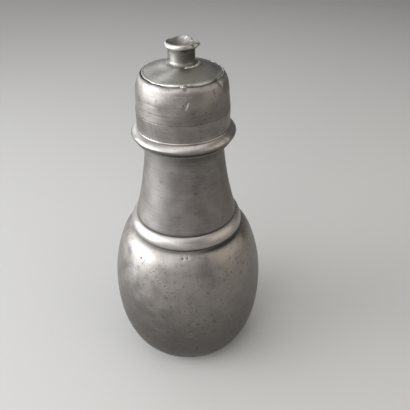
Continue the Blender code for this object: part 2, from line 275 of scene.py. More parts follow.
def solderTree():  # a lumpy bead of solder along an arc
    lengths = ["Seam radius", "Seam height", "Bead radius", "Start", "Sweep", "Wander", "Lumpiness"]
    lengths += ["Lump spacing", "Taper", "Seed"]
    tree, given = makeTree("solderBead", {**dict.fromkeys(lengths, "Float"), "Finish": "Material"})
    arcSteps, ringSteps = 420, 10
    feeds = {"Resolution": arcSteps, "Radius": given["Seam radius"]}
    feeds.update({"Start Angle": given["Start"], "Sweep Angle": given["Sweep"]})
    arc = shape(tree, "CurveArc", feeds, mode="RADIUS")
    spot = shape(tree, "InputPosition")
    shifted = vectorCalc(tree, "ADD", spot, joined(tree, 0.0, 0.0, given["Seed"]))
    scale = over(tree, 1.0, given["Lump spacing"])
    lumps = minus(tree, noise(tree, shifted, scale, 3.0, 0.6), 0.5)
    farOff = (0.3, 0.1, 0.2)  # another part of the noise
    elsewhere = vectorCalc(tree, "ADD", shifted, farOff)
    drift = minus(tree, noise(tree, elsewhere, scale), 0.5)
    outward = scaled(tree, vectorCalc(tree, "NORMALIZE", spot), times(tree, drift, given["Wander"]))
    height = plus(tree, given["Seam height"], times(tree, lumps, given["Wander"]))
    shift = vectorCalc(tree, "ADD", outward, joined(tree, 0.0, 0.0, height))
    path = shape(tree, "SetPosition", {"Geometry": arc, "Offset": shift})
    share = shape(tree, "SplineParameter")
    tail = minus(tree, 1.0, given["Taper"])
    ends = times(tree, rangeMap(tree, share, 0.0, given["Taper"]), rangeMap(tree, share, 1.0, tail))
    swell = plus(tree, 1.0, times(tree, lumps, given["Lumpiness"]))
    thinnest = 0.05  # share of the bead that is left at its ends
    size = times(tree, times(tree, swell, given["Bead radius"]), plus(tree, ends, thinnest))
    ring = shape(tree, "CurvePrimitiveCircle", {"Resolution": ringSteps, "Radius": 1.0})
    feeds = {"Curve": path, "Profile Curve": ring, "Scale": size, "Fill Caps": True}
    return endTree(tree, shape(tree, "CurveToMesh", feeds), given["Finish"])


trees = {"lathe": latheTree(), "pits": pitTree(), "thread": threadTree(), "solder": solderTree()}
print("geometry trees built:", ", ".join(trees))


def runTree(start, tree, values):
    holder = link(bpy.data.objects.new("holder", start))
    step = holder.modifiers.new("nodes", "NODES")
    step.node_group = tree
    for item in tree.interface.items_tree:
        if item.in_out == "INPUT" and item.name in values:
            step[item.identifier] = values[item.name]
    depsgraph = bpy.context.evaluated_depsgraph_get()
    evaluated = holder.evaluated_get(depsgraph)
    mesh = bpy.data.meshes.new_from_object(evaluated, preserve_all_data_layers=True, depsgraph=depsgraph)
    bpy.data.objects.remove(holder, do_unlink=True)
    return mesh


# profile helpers: radius and height in millimetres
def sweep(center, radii, start, end, count):
    angles = [math.radians(start + (end - start) * step / count) for step in range(count + 1)]
    return [(center[0] + radii[0] * math.cos(a), center[1] + radii[1] * math.sin(a)) for a in angles]


def quarter(center, reach, fullness, count):  # a fullness of 2 is an ellipse
    points = []
    for step in range(count + 1):
        angle = step / count * math.pi / 2
        out = math.sin(angle) ** (2 / fullness)
        along = math.cos(angle) ** (2 / fullness)
        points.append((center[0] + reach[0] * out, center[1] + reach[1] * along))
    return points


def bend(start, corner, end, count):  # leaves and arrives along the lines to the corner
    start, corner, end = Vector(start), Vector(corner), Vector(end)
    steps = [step / count for step in range(count + 1)]
    return [tuple(start * (1 - t) ** 2 + corner * 2 * t * (1 - t) + end * t**2) for t in steps]


def softCorners(points, reach, closed=False, count=4):  # rounds the corners of a path
    gentle = math.radians(18)  # smaller turns stay as they are
    most = 0.45  # share of a side that one corner may take
    soft = []
    total = len(points)
    for place, corner in enumerate(points):
        if not closed and place in (0, total - 1):
            soft.append(corner)
            continue
        before, after = Vector(points[place - 1]), Vector(points[(place + 1) % total])
        here = Vector(corner)
        back, on = before - here, after - here
        if back.length < 1e-9 or on.length < 1e-9 or back.angle(-on) < gentle:
            soft.append(corner)
            continue
        start = here + back.normalized() * min(reach, back.length * most)
        end = here + on.normalized() * min(reach, on.length * most)
        soft += bend(start, here, end, count)
    return soft


def fineSteps(points, spacing, closed=False):  # adds points where a path runs long
    fine = []
    pairs = list(zip(points, points[1:]))
    if closed:
        pairs.append((points[-1], points[0]))
    for start, end in pairs:
        count = max(1, math.ceil(math.dist(start, end) / spacing))
        for step in range(count):
            fine.append(tuple(a + (b - a) * step / count for a, b in zip(start, end)))
    if not closed:
        fine.append(points[-1])
    return fine


# mesh helpers
def readPoints(mesh):
    flat = np.zeros(len(mesh.vertices) * 3, np.float32)
    mesh.vertices.foreach_get("co", flat)
    return flat.reshape(-1, 3).astype(float)


def writePoints(mesh, points):
    mesh.vertices.foreach_set("co", points.astype(np.float32).ravel())
    mesh.update()


def readValues(mesh, name):
    values = np.zeros(len(mesh.vertices), np.float32)
    mesh.attributes[name].data.foreach_get("value", values)
    return values.astype(float)


def writeValues(mesh, name, values):
    layer = mesh.attributes.get(name) or mesh.attributes.new(name, "FLOAT", "POINT")
    layer.data.foreach_set("value", values.astype(np.float32))


def facesOut(mesh):
    work = bmesh.new()
    work.from_mesh(mesh)
    bmesh.ops.recalc_face_normals(work, faces=work.faces)
    work.to_mesh(mesh)
    work.free()


def turnPiece(name, outside, inside, steps, finish, closed=True):  # skin is 1 outside and 0 inside
    points = [(radius * mm, 0.0, height * mm) for radius, height in outside + inside]
    row = bpy.data.meshes.new(name + "Row")
    row.from_pydata(points, [], [])
    skin = row.attributes.new("skin", "FLOAT", "POINT")
    skin.data.foreach_set("value", [1.0] * len(outside) + [0.0] * len(inside))
    values = {"Turn steps": steps, "Closed path": int(closed), "Finish": finish}
    mesh = runTree(row, trees["lathe"], values)
    facesOut(mesh)
    return mesh, readPoints(mesh), readValues(mesh, "skin")


def polar(points):
    return np.hypot(points[:, 0], points[:, 1]), np.arctan2(points[:, 1], points[:, 0])


def turnTo(angles, degrees):  # how far each angle is from a bearing, in radians
    return (angles - math.radians(degrees) + math.pi) % math.tau - math.pi


def nearBearing(angles, bearing, spread):  # 1 on a bearing, falling off within a spread of degrees
    return np.exp(-((turnTo(angles, bearing) / math.radians(spread)) ** 2))


def ramp(values, start, end):  # 0 before the start, 1 past the end, both in millimetres
    return np.clip((values - start * mm) / ((end - start) * mm), 0, 1)


def ripple(points, size, seed, waves=14):  # smooth unevenness from 0 to 1, its size in millimetres
    shortest, longest = 0.7, 1.5  # shares of the size
    swing = 2.6 * math.sqrt(waves)  # most sums of the waves lie within half of this
    rng = np.random.default_rng(seed)
    total = np.zeros(len(points))
    for _ in range(waves):
        direction = rng.normal(size=3)
        direction *= math.tau / (size * mm * rng.uniform(shortest, longest)) / np.linalg.norm(direction)
        total += np.sin(points @ direction + rng.uniform(0, math.tau))
    return np.clip(0.5 + total / swing, 0, 1)


def flattened(points):
    return points * np.array([1, 1, 0])


def pullIn(points, amount):  # moves points towards the axis
    _, angle = polar(points)
    moved = points.copy()
    moved[:, 0] -= np.cos(angle) * amount
    moved[:, 1] -= np.sin(angle) * amount
    return moved


def roughen(points, uneven, share):  # uneven holds a depth, a wave size and a seed
    depth, size, seed = uneven
    return pullIn(points, depth * mm * ripple(points, size, seed) * share)


def pressDents(points, skin, dents):  # bearing and height, then width, tallness and depth in millimetres
    amount = np.zeros(len(points))
    radius, angle = polar(points)
    for bearing, height, wide, tall, depth in dents:
        aside = turnTo(angle, bearing) * radius / (wide * mm)
        above = (points[:, 2] - height * mm) / (tall * mm)
        amount += depth * mm * np.exp(-(aside**2) - above**2)
    return pullIn(points, amount * skin)


def cutScores(points, skin, scores):  # scratches along a few points of bearing and height
    amount = np.zeros(len(points))
    radius, angle = polar(points)
    for score in scores:
        for (bearingA, heightA), (bearingB, heightB) in zip(score["path"], score["path"][1:]):
            side = turnTo(angle, bearingA) * radius
            run = math.radians(bearingB - bearingA) * radius
            above = points[:, 2] - heightA * mm
            rise = (heightB - heightA) * mm
            share = np.clip((side * run + above * rise) / (run**2 + rise**2), 0, 1)
            away = np.hypot(side - share * run, above - share * rise) / (score["wide"] * mm)
            amount = np.maximum(amount, score["depth"] * mm * np.exp(-(away**2)))
    return pullIn(points, amount * skin)


# pits come singly and in clusters
cluster = {
    "count": (3, 9),  # the second is never reached
    "turn": 9.0,  # degrees
    "rise": 3.5,  # millimetres
}
pitFaces = {"reach": 1.25, "margin": 0.2, "cuts": 2}  # where faces get smaller round a pit


def pitSpots(path, pits):  # the pits named by bearing, height and reach come first, then the seeded ones
    rng = np.random.default_rng(pits["seed"])
    line = np.array(sorted(((z, r) for r, z in path)))
    low, high = pits["between"]
    spots = list(pits["named"])
    for _ in range(pits["clusters"]):
        bearing, height = rng.uniform(-180, 180), rng.uniform(low, high)
        for _ in range(rng.integers(*cluster["count"])):
            near = (bearing + rng.normal() * cluster["turn"], height + rng.normal() * cluster["rise"])
            spots.append((near[0], float(np.clip(near[1], low, high)), rng.uniform(*pits["reach"])))
    for _ in range(pits["singles"]):
        spots.append((rng.uniform(-180, 180), rng.uniform(low, high), rng.uniform(*pits["reach"])))
    rows = []
    for bearing, height, reach in spots:
        radius = float(np.interp(height, line[:, 0], line[:, 1]))
        angle = math.radians(bearing)
        rows.append((radius * mm * math.cos(angle), radius * mm * math.sin(angle), height * mm, reach * mm))
    return np.array(rows)


def refineNear(mesh, spots):  # smaller faces where a pit goes
    near = KDTree(len(spots))
    for index, spot in enumerate(spots):
        near.insert(spot[:3], index)
    near.balance()
    work = bmesh.new()
    work.from_mesh(mesh)
    edges = set()
    for face in work.faces:
        _, index, away = near.find(face.calc_center_median())
        if away < spots[index][3] * pitFaces["reach"] + pitFaces["margin"] * mm:
            edges.update(face.edges)
    bmesh.ops.subdivide_edges(work, edges=list(edges), cuts=pitFaces["cuts"], use_grid_fill=True)
    work.to_mesh(mesh)
    work.free()


def addPits(mesh, path, pits, finish):
    spots = pitSpots(path, pits)
    refineNear(mesh, spots)
    cloud = bpy.data.meshes.new("pitSpots")
    cloud.from_pydata([tuple(spot[:3]) for spot in spots], [], [])
    reach = cloud.attributes.new("reach", "FLOAT", "POINT")
    reach.data.foreach_set("value", spots[:, 3].astype(np.float32))
    holder = link(bpy.data.objects.new("pitSpots", cloud))
    pitted = runTree(mesh, trees["pits"], {"Spots": holder, "Depth share": pits["depth"], "Finish": finish})
    bpy.data.objects.remove(holder, do_unlink=True)
    return pitted


# a row of grime or painted shade, or of wear or painted highlight, is a soft ring: radius, height,
# half width and amount, and for part of a turn also a bearing and its spread in degrees
def ringMask(points, rings):
    mask = np.zeros(len(points))
    reach, angle = polar(points)
    for radius, height, half, amount, *span in rings:
        away = np.hypot(reach - radius * mm, points[:, 2] - height * mm) / (half * mm)
        share = amount * np.exp(-(away**2))
        if span:
            share *= nearBearing(angle, *span)
        mask = np.maximum(mask, share)
    return mask


sharpAngle = math.radians(50)  # edges that turn more stay sharp


def finishPiece(name, mesh, body, nodes, grimeAndShade=(), wearAndHighlight=()):
    points = readPoints(mesh)
    writeValues(mesh, "grimeAndShade", ringMask(points, grimeAndShade))
    writeValues(mesh, "wearAndHighlight", ringMask(points, wearAndHighlight))
    mesh.name = name
    mesh.shade_smooth()
    mesh.set_sharp_from_angle(angle=sharpAngle)
    piece = link(bpy.data.objects.new(name, mesh))
    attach(piece, body)
    if nodes:
        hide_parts(*nodes)
    print("made", name, len(mesh.vertices), "points")
    return piece


# finishes
def newMaterial(name):
    material = bpy.data.materials.new(name)
    material.use_nodes = True
    return material, material.node_tree, material.node_tree.nodes["Principled BSDF"]


def colour(tree, factor, first, second, blend="MIX"):
    made = node(tree, "ShaderNodeMix", data_type="RGBA", blend_type=blend)
    feed(tree, made.inputs[0], factor)
    for socket, value in ((made.inputs[6], first), (made.inputs[7], second)):
        feed(tree, socket, (*value, 1.0) if isinstance(value, tuple) else value)
    return made.outputs[2]


def attribute(tree, name):
    return node(tree, "ShaderNodeAttribute", attribute_name=name).outputs["Fac"]


pewter = {
    "dark": (0.180, 0.168, 0.158),
    "light": (0.282, 0.266, 0.252),
    "warm": (0.272, 0.248, 0.222),
    # dark tone of grime, also laid on as painted shade
    "grimeAndShade": (0.055, 0.050, 0.043),
    "pit": (0.035, 0.031, 0.027),
    # bright tone of rubbed metal, also laid on as painted highlights
    "bright": (0.640, 0.612, 0.585),
    "middle": (0.25, 0.75),  # levels that most of a noise lies between
    "rough": 0.36,
    "roughSpread": 0.16,
    "roughShifts": {"grimeAndShade": 0.22, "pit": 0.20, "stains": 0.10, "wearAndHighlight": -0.10},
    "blotch": 150.0,  # blotches per metre
    "mottle": 0.30,  # smaller is stronger
    "cloud": 34.0,  # clouds per metre
    "cloudWarm": (0.45, 0.75, 0.0, 0.4),  # noise levels where the warm tone sets in, and its share there
    "grain": 2600.0,
    "speck": 980.0,  # small pits per metre
    "speckShare": 0.40,
    "speckSize": 0.85,
    "speckEdge": 0.15,
    "speckDark": 0.6,
    "crowd": (0.30, 0.62, 0.35, 1.0),  # specks and stains crowd where the clouds are
    "sway": (900.0, 0.0007),  # how the specks and stains are bent out of shape: scale and reach
    "stain": 0.30,
    "stainScale": 430.0,
    "stainEdge": (0.56, 0.72),
    "lines": 1400.0,  # turning lines per metre
    "lineRun": 26.0,  # how soon a line changes along its length
    "lineDepth": 0.35,
    "lineShade": 0.06,
    "lineUp": 1.0,  # how the lines follow the height and the radius
    "lineOut": 0.0,
    "scratch": 0.5,
    "scratchBright": 0.22,
    "scratchTurns": [(0.4, 0.9, 0.3), (1.2, -0.5, 0.8), (-0.6, 0.4, 2.0)],
    "scratchScale": (70.0, 70.0, 2400.0),
    "scratchEdge": (0.70, 0.78),
    "scratchBreaks": 190.0,
    "breakEdge": (0.52, 0.64),
    "wearAndHighlightBright": 0.75,
    "relief": 0.000022,
    "reliefs": {"hairs": -0.5, "specks": -3.0, "grain": 0.25, "blotches": 0.8},
    "lowShade": None,  # painted shade: heights in metres between which the metal darkens downwards
    "lowShadeAmount": 0.5,
    "lowShadeWander": 0.02,
}


def scratches(tree, place, look):
    hairs = None
    for turn in look["scratchTurns"]:
        feeds = {"Vector": place, "Rotation": turn, "Scale": look["scratchScale"]}
        mapped = node(tree, "ShaderNodeMapping", feeds).outputs[0]
        sheet = rangeMap(tree, noise(tree, mapped, 1.0, 0.0), *look["scratchEdge"])
        broken = noise(tree, vectorCalc(tree, "ADD", place, turn), look["scratchBreaks"])
        stroke = times(tree, sheet, rangeMap(tree, broken, *look["breakEdge"]))
        hairs = stroke if hairs is None else calc(tree, "MAXIMUM", hairs, stroke)
    return hairs


def pewterFinish(name, changes):
    look = {**pewter, **changes}
    material, tree, surface = newMaterial(name)
    place = node(tree, "ShaderNodeTexCoord").outputs["Object"]
    point = parts(tree, place)
    radius = vectorCalc(tree, "LENGTH", joined(tree, point["X"], point["Y"], 0.0))

    blotches = noise(tree, place, look["blotch"], 5.0, 0.62)
    clouds = noise(tree, place, look["cloud"])
    grain = noise(tree, place, look["grain"])
    hairs = scratches(tree, place, look)
    up = times(tree, point["Z"], look["lineUp"] * look["lines"])
    across = timesPlus(tree, radius, look["lineOut"] * look["lines"], up)
    slowX = times(tree, point["X"], look["lineRun"])
    slowY = times(tree, point["Y"], look["lineRun"])
    turning = noise(tree, joined(tree, slowX, slowY, across), 1.0, 3.0, 0.65)

    swayScale, swayReach = look["sway"]
    sway = node(tree, "ShaderNodeTexNoise", {"Vector": place, "Scale": swayScale}).outputs["Color"]
    bent = vectorCalc(tree, "ADD", place, scaled(tree, sway, swayReach))
    cells = node(tree, "ShaderNodeTexVoronoi", {"Vector": bent, "Scale": look["speck"]})
    draw = parts(tree, cells.outputs["Color"])["X"]
    reach = times(tree, minus(tree, draw, 1.0 - look["speckShare"]), look["speckSize"])
    crowd = rangeMap(tree, clouds, *look["crowd"])
    depth = minus(tree, times(tree, reach, crowd), cells.outputs["Distance"])
    specks = rangeMap(tree, depth, 0.0, look["speckEdge"])

    stainNoise = noise(tree, bent, look["stainScale"], 4.0, 0.65)
    stains = times(tree, rangeMap(tree, stainNoise, *look["stainEdge"]), crowd)
    pit = calc(tree, "MAXIMUM", attribute(tree, "pit"), times(tree, specks, look["speckDark"]))
    # these rows carry grime and painted shade, and wear and painted highlights
    grimeAndShade = attribute(tree, "grimeAndShade")
    wearAndHighlight = attribute(tree, "wearAndHighlight")

    mottled = rangeMap(tree, blotches, 0.5 - look["mottle"], 0.5 + look["mottle"])
    tone = colour(tree, mottled, look["dark"], look["light"])
    tone = colour(tree, rangeMap(tree, clouds, *look["cloudWarm"]), tone, look["warm"])
    shades = (1.0 - look["lineShade"], 1.0 + look["lineShade"])
    shade = rangeMap(tree, turning, *look["middle"], *shades, False)
    tone = colour(tree, 1.0, tone, joined(tree, shade, shade, shade), "MULTIPLY")
    layers = [
        (times(tree, wearAndHighlight, look["wearAndHighlightBright"]), "bright"),
        (times(tree, hairs, look["scratchBright"] * look["scratch"]), "bright"),
        (times(tree, stains, look["stain"]), "pit"),
        (grimeAndShade, "grimeAndShade"),
        (pit, "pit"),
    ]
    # painted shade: the metal darkens towards the bottom
    if look["lowShade"]:
        low, high = look["lowShade"]
        fall = rangeMap(tree, timesPlus(tree, clouds, look["lowShadeWander"], point["Z"]), high, low)
        layers.insert(0, (times(tree, fall, look["lowShadeAmount"]), "grimeAndShade"))
    for amount, tint in layers:
        tone = colour(tree, amount, tone, look[tint])
    tree.links.new(tone, surface.inputs["Base Color"])

    half = look["roughSpread"] / 2
    rough = rangeMap(tree, blotches, *look["middle"], look["rough"] - half, look["rough"] + half)
    for value, key in ((grimeAndShade, "grimeAndShade"), (pit, "pit"), (stains, "stains"), (wearAndHighlight, "wearAndHighlight")):
        rough = timesPlus(tree, value, look["roughShifts"][key], rough)
    tree.links.new(rough, surface.inputs["Roughness"])

    height = times(tree, turning, look["lineDepth"])
    height = timesPlus(tree, hairs, look["reliefs"]["hairs"] * look["scratch"], height)
    for value, key in ((specks, "specks"), (grain, "grain"), (blotches, "blotches")):
        height = timesPlus(tree, value, look["reliefs"][key], height)
    feeds = {"Strength": 1.0, "Distance": look["relief"], "Height": height}
    tree.links.new(node(tree, "ShaderNodeBump", feeds).outputs["Normal"], surface.inputs["Normal"])
    surface.inputs["Metallic"].default_value = 1.0
    return material


leather = {
    "dark": (0.060, 0.032, 0.018),
    "light": (0.190, 0.105, 0.058),
    "crease": (0.035, 0.020, 0.012),
    "cell": 900.0,  # grains per metre
    "cellEdge": (0.55, 0.9, 0.0, 0.5),
    "stain": 160.0,
    "stainEdge": (0.3, 0.7),
    "rough": (0.62, 0.82),
    "strength": 0.8,
    "relief": 0.00012,
}


def leatherFinish(name):
    material, tree, surface = newMaterial(name)
    place = node(tree, "ShaderNodeTexCoord").outputs["Object"]
    feeds = {"Vector": place, "Scale": leather["cell"]}
    cells = node(tree, "ShaderNodeTexVoronoi", feeds).outputs["Distance"]
    stain = noise(tree, place, leather["stain"], 4.0, 0.6)
    tone = colour(tree, rangeMap(tree, stain, *leather["stainEdge"]), leather["dark"], leather["light"])
    tone = colour(tree, rangeMap(tree, cells, *leather["cellEdge"]), tone, leather["crease"])
    tree.links.new(tone, surface.inputs["Base Color"])
    rough = rangeMap(tree, stain, *leather["stainEdge"], *leather["rough"])
    tree.links.new(rough, surface.inputs["Roughness"])
    feeds = {"Strength": leather["strength"], "Distance": leather["relief"], "Height": cells}
    tree.links.new(node(tree, "ShaderNodeBump", feeds).outputs["Normal"], surface.inputs["Normal"])
    return material


# bowl: one egg-shaped body with a small flat foot
bowl = {
    "belly": 39.0,
    "bellyHeight": 39.8,
    "base": 20.0,
    "lowerFullness": 2.25,
    "shoulderRise": 37.8,
    "upperFullness": 2.25,
    "ledge": 30.0,
    "rounding": (6.6, 4.7),  # height of the rounding, and how far the shoulder's line would run on
    "seat": (26.9, 78.45),
    "joint": (24.3, 22.5, 81.6),  # collar behind the bead: outside, bore, top
    "wall": 2.5,
    "floor": 3.2,
    "foot": (6.0, 0.8),  # width of the standing ring, depth of the hollow
    "steps": 320,
    "rows": (90, 56, 22),  # points along the lower half, the flank and the rounding
    "spacing": 0.62,
    "innerRows": (13, 2.4, 14),  # points down the upper wall, their spacing, points in the lower half
    "uneven": (0.16, 30.0, 3),
    "unevenFrom": (4.0, 10.0),  # heights over which the unevenness grows
    "unevenTo": (76.5, 70.5),
    "dents": [
        (-94.7, 76.0, 0.95, 0.95, 0.22),
        (-90.2, 76.2, 0.65, 0.70, 0.16),
        (-152.0, 69.5, 2.4, 3.4, 0.14),
        (-112.0, 58.0, 9.0, 7.0, 0.25),
        (-60.0, 46.0, 11.0, 9.0, 0.25),
        (35.0, 62.0, 9.0, 7.0, 0.30),
        (120.0, 44.0, 10.0, 8.0, 0.30),
    ],
    "pits": {
        "seed": 7,
        "between": (14.0, 75.5),
        "clusters": 10,
        "singles": 34,
        "reach": (0.20, 0.38),
        "depth": 0.36,
        "named": [
            (-94.7, 76.0, 0.70), (-90.2, 76.2, 0.52), (-133.9, 72.1, 0.75), (-144.0, 63.6, 0.65),
            (-84.9, 40.3, 0.80), (-83.6, 40.6, 0.55), (-44.8, 67.3, 0.70), (-53.9, 65.3, 0.65),
            (-108.4, 62.6, 0.70), (-105.9, 61.3, 0.60), (-102.8, 59.5, 0.65), (-100.5, 58.0, 0.60),
            (-107.0, 59.8, 0.50), (-137.0, 66.0, 0.42), (-134.5, 65.6, 0.40), (-141.0, 61.0, 0.42),
            (-119.0, 68.5, 0.44), (-121.5, 67.4, 0.36),
        ],
    },
    "grimeAndShade": [
        (26.9, 78.4, 0.75, 0.85),
        # painted shade in the groove under the bead, on the right
        (28.3, 77.9, 1.25, 1.35, -52.0, 38.0),
        # painted shade in the same groove, on the front
        (28.0, 78.0, 0.95, 0.75, -105.0, 45.0),
        (20.0, 0.0, 2.6, 0.5),
        (33.6, 69.0, 4.0, 0.30, -151.0, 3.5),
        (34.6, 66.5, 3.0, 0.22, -142.0, 2.5),
    ],
    "look": {
        "dark": (0.215, 0.201, 0.189), "light": (0.325, 0.307, 0.290), "rough": 0.42, "speckShare": 0.50,
        "stain": 0.45, "scratch": 0.7, "lineDepth": 0.05, "lineShade": 0.02,
        # painted shade: the lower bowl darkens towards the foot
        "lowShade": (0.018, 0.088), "lowShadeAmount": 0.80,
    },
}


def bowlPaths():
    belly, middle, base = bowl["belly"], bowl["bellyHeight"], bowl["base"]
    wide, hollow = bowl["foot"]
    top = middle + bowl["shoulderRise"]
    lowerRows, flankRows, browRows = bowl["rows"]

    def shoulder(height, inset=0.0):
        share = (height - middle) / bowl["shoulderRise"]
        return belly - (belly - bowl["ledge"]) * share ** bowl["upperFullness"] - inset

    lower = quarter((base, middle), (belly - base, -middle), bowl["lowerFullness"], lowerRows)
    rounding, lean = bowl["rounding"]
    flankTop = top - rounding
    heights = [middle + (flankTop - middle) * step / flankRows for step in range(1, flankRows + 1)]
    upper = [(shoulder(height), height) for height in heights]
    near = 0.1  # a short way down, to measure the slope
    steep = (shoulder(flankTop - near) - shoulder(flankTop)) / near
    brow = bend(upper[-1], (upper[-1][0] - steep * lean, flankTop + lean), bowl["seat"], browRows)[1:]
    recess = base - wide
    under = [(0.0, hollow), (recess - hollow, hollow), (recess, 0.0)]
    outer, bore, rim = bowl["joint"]
    seatHeight = bowl["seat"][1]
    outside = fineSteps(under + lower + upper + brow + [(outer, seatHeight)], bowl["spacing"])
    wall, floor = bowl["wall"], bowl["floor"]
    upperRows, drop, dishRows = bowl["innerRows"]
    inside = [(outer, rim), (bore, rim), (bore, seatHeight - wall)]
    inside += [(shoulder(flankTop - step * drop, wall), flankTop - step * drop) for step in range(upperRows)]
    dish = quarter((base - wall, middle), (belly - base, floor - middle), bowl["lowerFullness"], dishRows)
    inside += dish[::-1] + [(0.0, floor)]
    return outside, inside, lower + upper + brow


def makeBowl():
    finish = pewterFinish("wornPewter", bowl["look"])
    outside, inside, line = bowlPaths()
    mesh, points, skin = turnPiece("bowl", outside, inside, bowl["steps"], finish, closed=False)
    free = skin * ramp(points[:, 2], *bowl["unevenFrom"]) * ramp(points[:, 2], *bowl["unevenTo"])
    points = roughen(points, bowl["uneven"], free)
    points = pressDents(points, skin, bowl["dents"])
    writePoints(mesh, points)
    mesh = addPits(mesh, line, bowl["pits"], finish)
    nodes = ["lower_bowl", "upper_bowl"]
    return finishPiece("bottleBowl", mesh, "bottle", nodes, bowl["grimeAndShade"])


# quarter-round bead over the joint of bowl and neck
bead = {
    "bore": 24.6,
    "widest": 79.4,
    "proud": 3.3,
    "rise": 5.5,
    "fullness": 1.75,
    "foot": (27.4, 78.6),  # where its lower edge stands on the bowl
    "soft": 0.3,
    "steps": 280,
    "rows": 30,
    "uneven": (0.05, 14.0, 21),
    "dents": [
        (-58.0, 80.6, 1.2, 0.8, 0.22),
        (-30.0, 82.4, 1.6, 1.2, 0.20),
        (96.0, 82.0, 1.8, 1.4, 0.25),
    ],
    "pits": {
        "seed": 12,
        "between": (79.6, 84.0),
        "clusters": 2,
        "singles": 8,
        "reach": (0.18, 0.30),
        "depth": 0.4,
        "named": [(-128.0, 83.0, 0.34), (-140.0, 81.8, 0.34), (-66.0, 83.2, 0.30)],
    },
    "grimeAndShade": [(27.4, 78.6, 0.40, 0.8), (24.6, 84.9, 0.35, 0.7)],
    "wearAndHighlight": [(27.075, 82.425, 3.0, 0.60)],
    "look": {"rough": 0.46, "roughSpread": 0.10, "speckShare": 0.14, "stain": 0.14, "lineDepth": 0.10},
}


def makeBead():
    finish = pewterFinish("rubbedBead", bead["look"])
    inner, widest, proud, rise = (bead[key] for key in ("bore", "widest", "proud", "rise"))
    curve = quarter((inner, widest), (proud, rise), bead["fullness"], bead["rows"])
    curve += softCorners([curve[-1], bead["foot"], (inner, bead["foot"][1])], bead["soft"])[1:]
    mesh, points, skin = turnPiece("bead", curve, [], bead["steps"], finish)
    radius, _ = polar(points)
    crest = skin * ramp(radius, inner, inner + proud)
    points = roughen(points, bead["uneven"], crest)
    points = pressDents(points, skin * crest, bead["dents"])
    writePoints(mesh, points)
    mesh = addPits(mesh, curve[1 : bead["rows"]], bead["pits"], finish)
    nodes = ["shoulder_bead"]
    return finishPiece("beadRing", mesh, "bottle", nodes, bead["grimeAndShade"], bead["wearAndHighlight"])


# neck: plain, dull and finely turned
neck = {
    "top": (18.4, 125.0),
    "foot": (25.0, 85.2),
    "curve": 1.62,
    "wall": 1.8,
    "bore": (16.6, 114.7),  # socket of the mouth: radius and floor
    "mouthBore": 14.5,
    "joint": (24.3, 22.5, 81.95),
    "soft": 0.35,
    "steps": 260,
    "rows": 80,
    "innerRows": (10, 2.9),  # points down the inside, and their spacing
    "uneven": (0.10, 22.0, 33),
    "unevenFrom": (85.8, 89.8),
    "unevenTo": (124.4, 120.4),
    "pits": {
        "seed": 31,
        "between": (87.0, 123.0),
        "clusters": 4,
        "singles": 16,
        "reach": (0.18, 0.32),
        "depth": 0.4,
        "named": [(-62.0, 118.0, 0.42), (-97.0, 91.5, 0.34), (-108.0, 92.0, 0.40), (-111.0, 95.5, 0.34)],
    },
    "grimeAndShade": [
        (25.0, 85.2, 0.7, 0.8),
        (18.4, 125.0, 1.5, 0.7),
        # painted shade on the right of the neck
        (20.6, 104.0, 17.0, 0.16, -32.0, 36.0),
        # painted shadow under the collar, on the front and right
        (18.6, 122.6, 3.4, 0.52, -72.0, 58.0),
    ],
    # painted highlight: the left of the neck is lighter
    "wearAndHighlight": [(21.0, 106.0, 19.0, 0.12, -152.0, 32.0)],
    "look": {
        "dark": (0.148, 0.138, 0.131), "light": (0.220, 0.208, 0.198), "rough": 0.47, "roughSpread": 0.10,
        "speckShare": 0.22, "lineDepth": 0.35, "lineShade": 0.08,
    },
}


def makeNeck():
    finish = pewterFinish("dullNeck", neck["look"])
    topRadius, top = neck["top"]
    footRadius, foot = neck["foot"]
    rows = neck["rows"]

    def flare(height, inset=0.0):
        share = (top - height) / (top - foot)
        return topRadius + (footRadius - topRadius) * share ** neck["curve"] - inset

    heights = [foot + (top - foot) * step / rows for step in range(rows + 1)]
    side = [(flare(height), height) for height in heights]
    boreRadius, boreFloor = neck["bore"]
    outer, inner, low = neck["joint"]
    rim = softCorners([side[-2], side[-1], (boreRadius, top), (boreRadius, boreFloor)], neck["soft"])
    outside = [(outer, foot)] + side[:-2] + rim[:-1]
    inside = [(boreRadius, boreFloor), (neck["mouthBore"], boreFloor)]
    innerRows, drop = neck["innerRows"]
    depths = [boreFloor - drop * step for step in range(1, innerRows + 1)]
    inside += [(flare(height, neck["wall"]), height) for height in depths]
    inside += [(inner, low), (outer, low)]
    mesh, points, skin = turnPiece("neck", outside, inside, neck["steps"], finish)
    free = skin * ramp(points[:, 2], *neck["unevenFrom"]) * ramp(points[:, 2], *neck["unevenTo"])
    writePoints(mesh, roughen(points, neck["uneven"], free))
    mesh = addPits(mesh, side, neck["pits"], finish)
    return finishPiece("neckSleeve", mesh, "bottle", ["neck"], neck["grimeAndShade"], neck["wearAndHighlight"])


# mouth: the threaded sleeve that the cap screws on
mouth = {
    "root": 16.3,
    "bore": 14.5,
    "bottom": 115.0,
    "top": 138.4,
    "edge": 0.5,
    "steps": 200,
    "spacing": 0.24,
    "pitch": 3.5,
    "ridge": 0.92,
    "base": 1.45,
    "crest": 0.50,
    "thread": (126.2, 137.7),
    "runOut": 1.2,
    "shell": (-0.3, 1.0),  # the ridge is cut between these distances from the root
    "grimeAndShade": [(16.3, 125.2, 1.4, 0.6)],
    "look": {
        "dark": (0.32, 0.31, 0.29), "light": (0.47, 0.46, 0.43), "rough": 0.33, "speckShare": 0.10,
        "lineDepth": 0.30,
    },
}


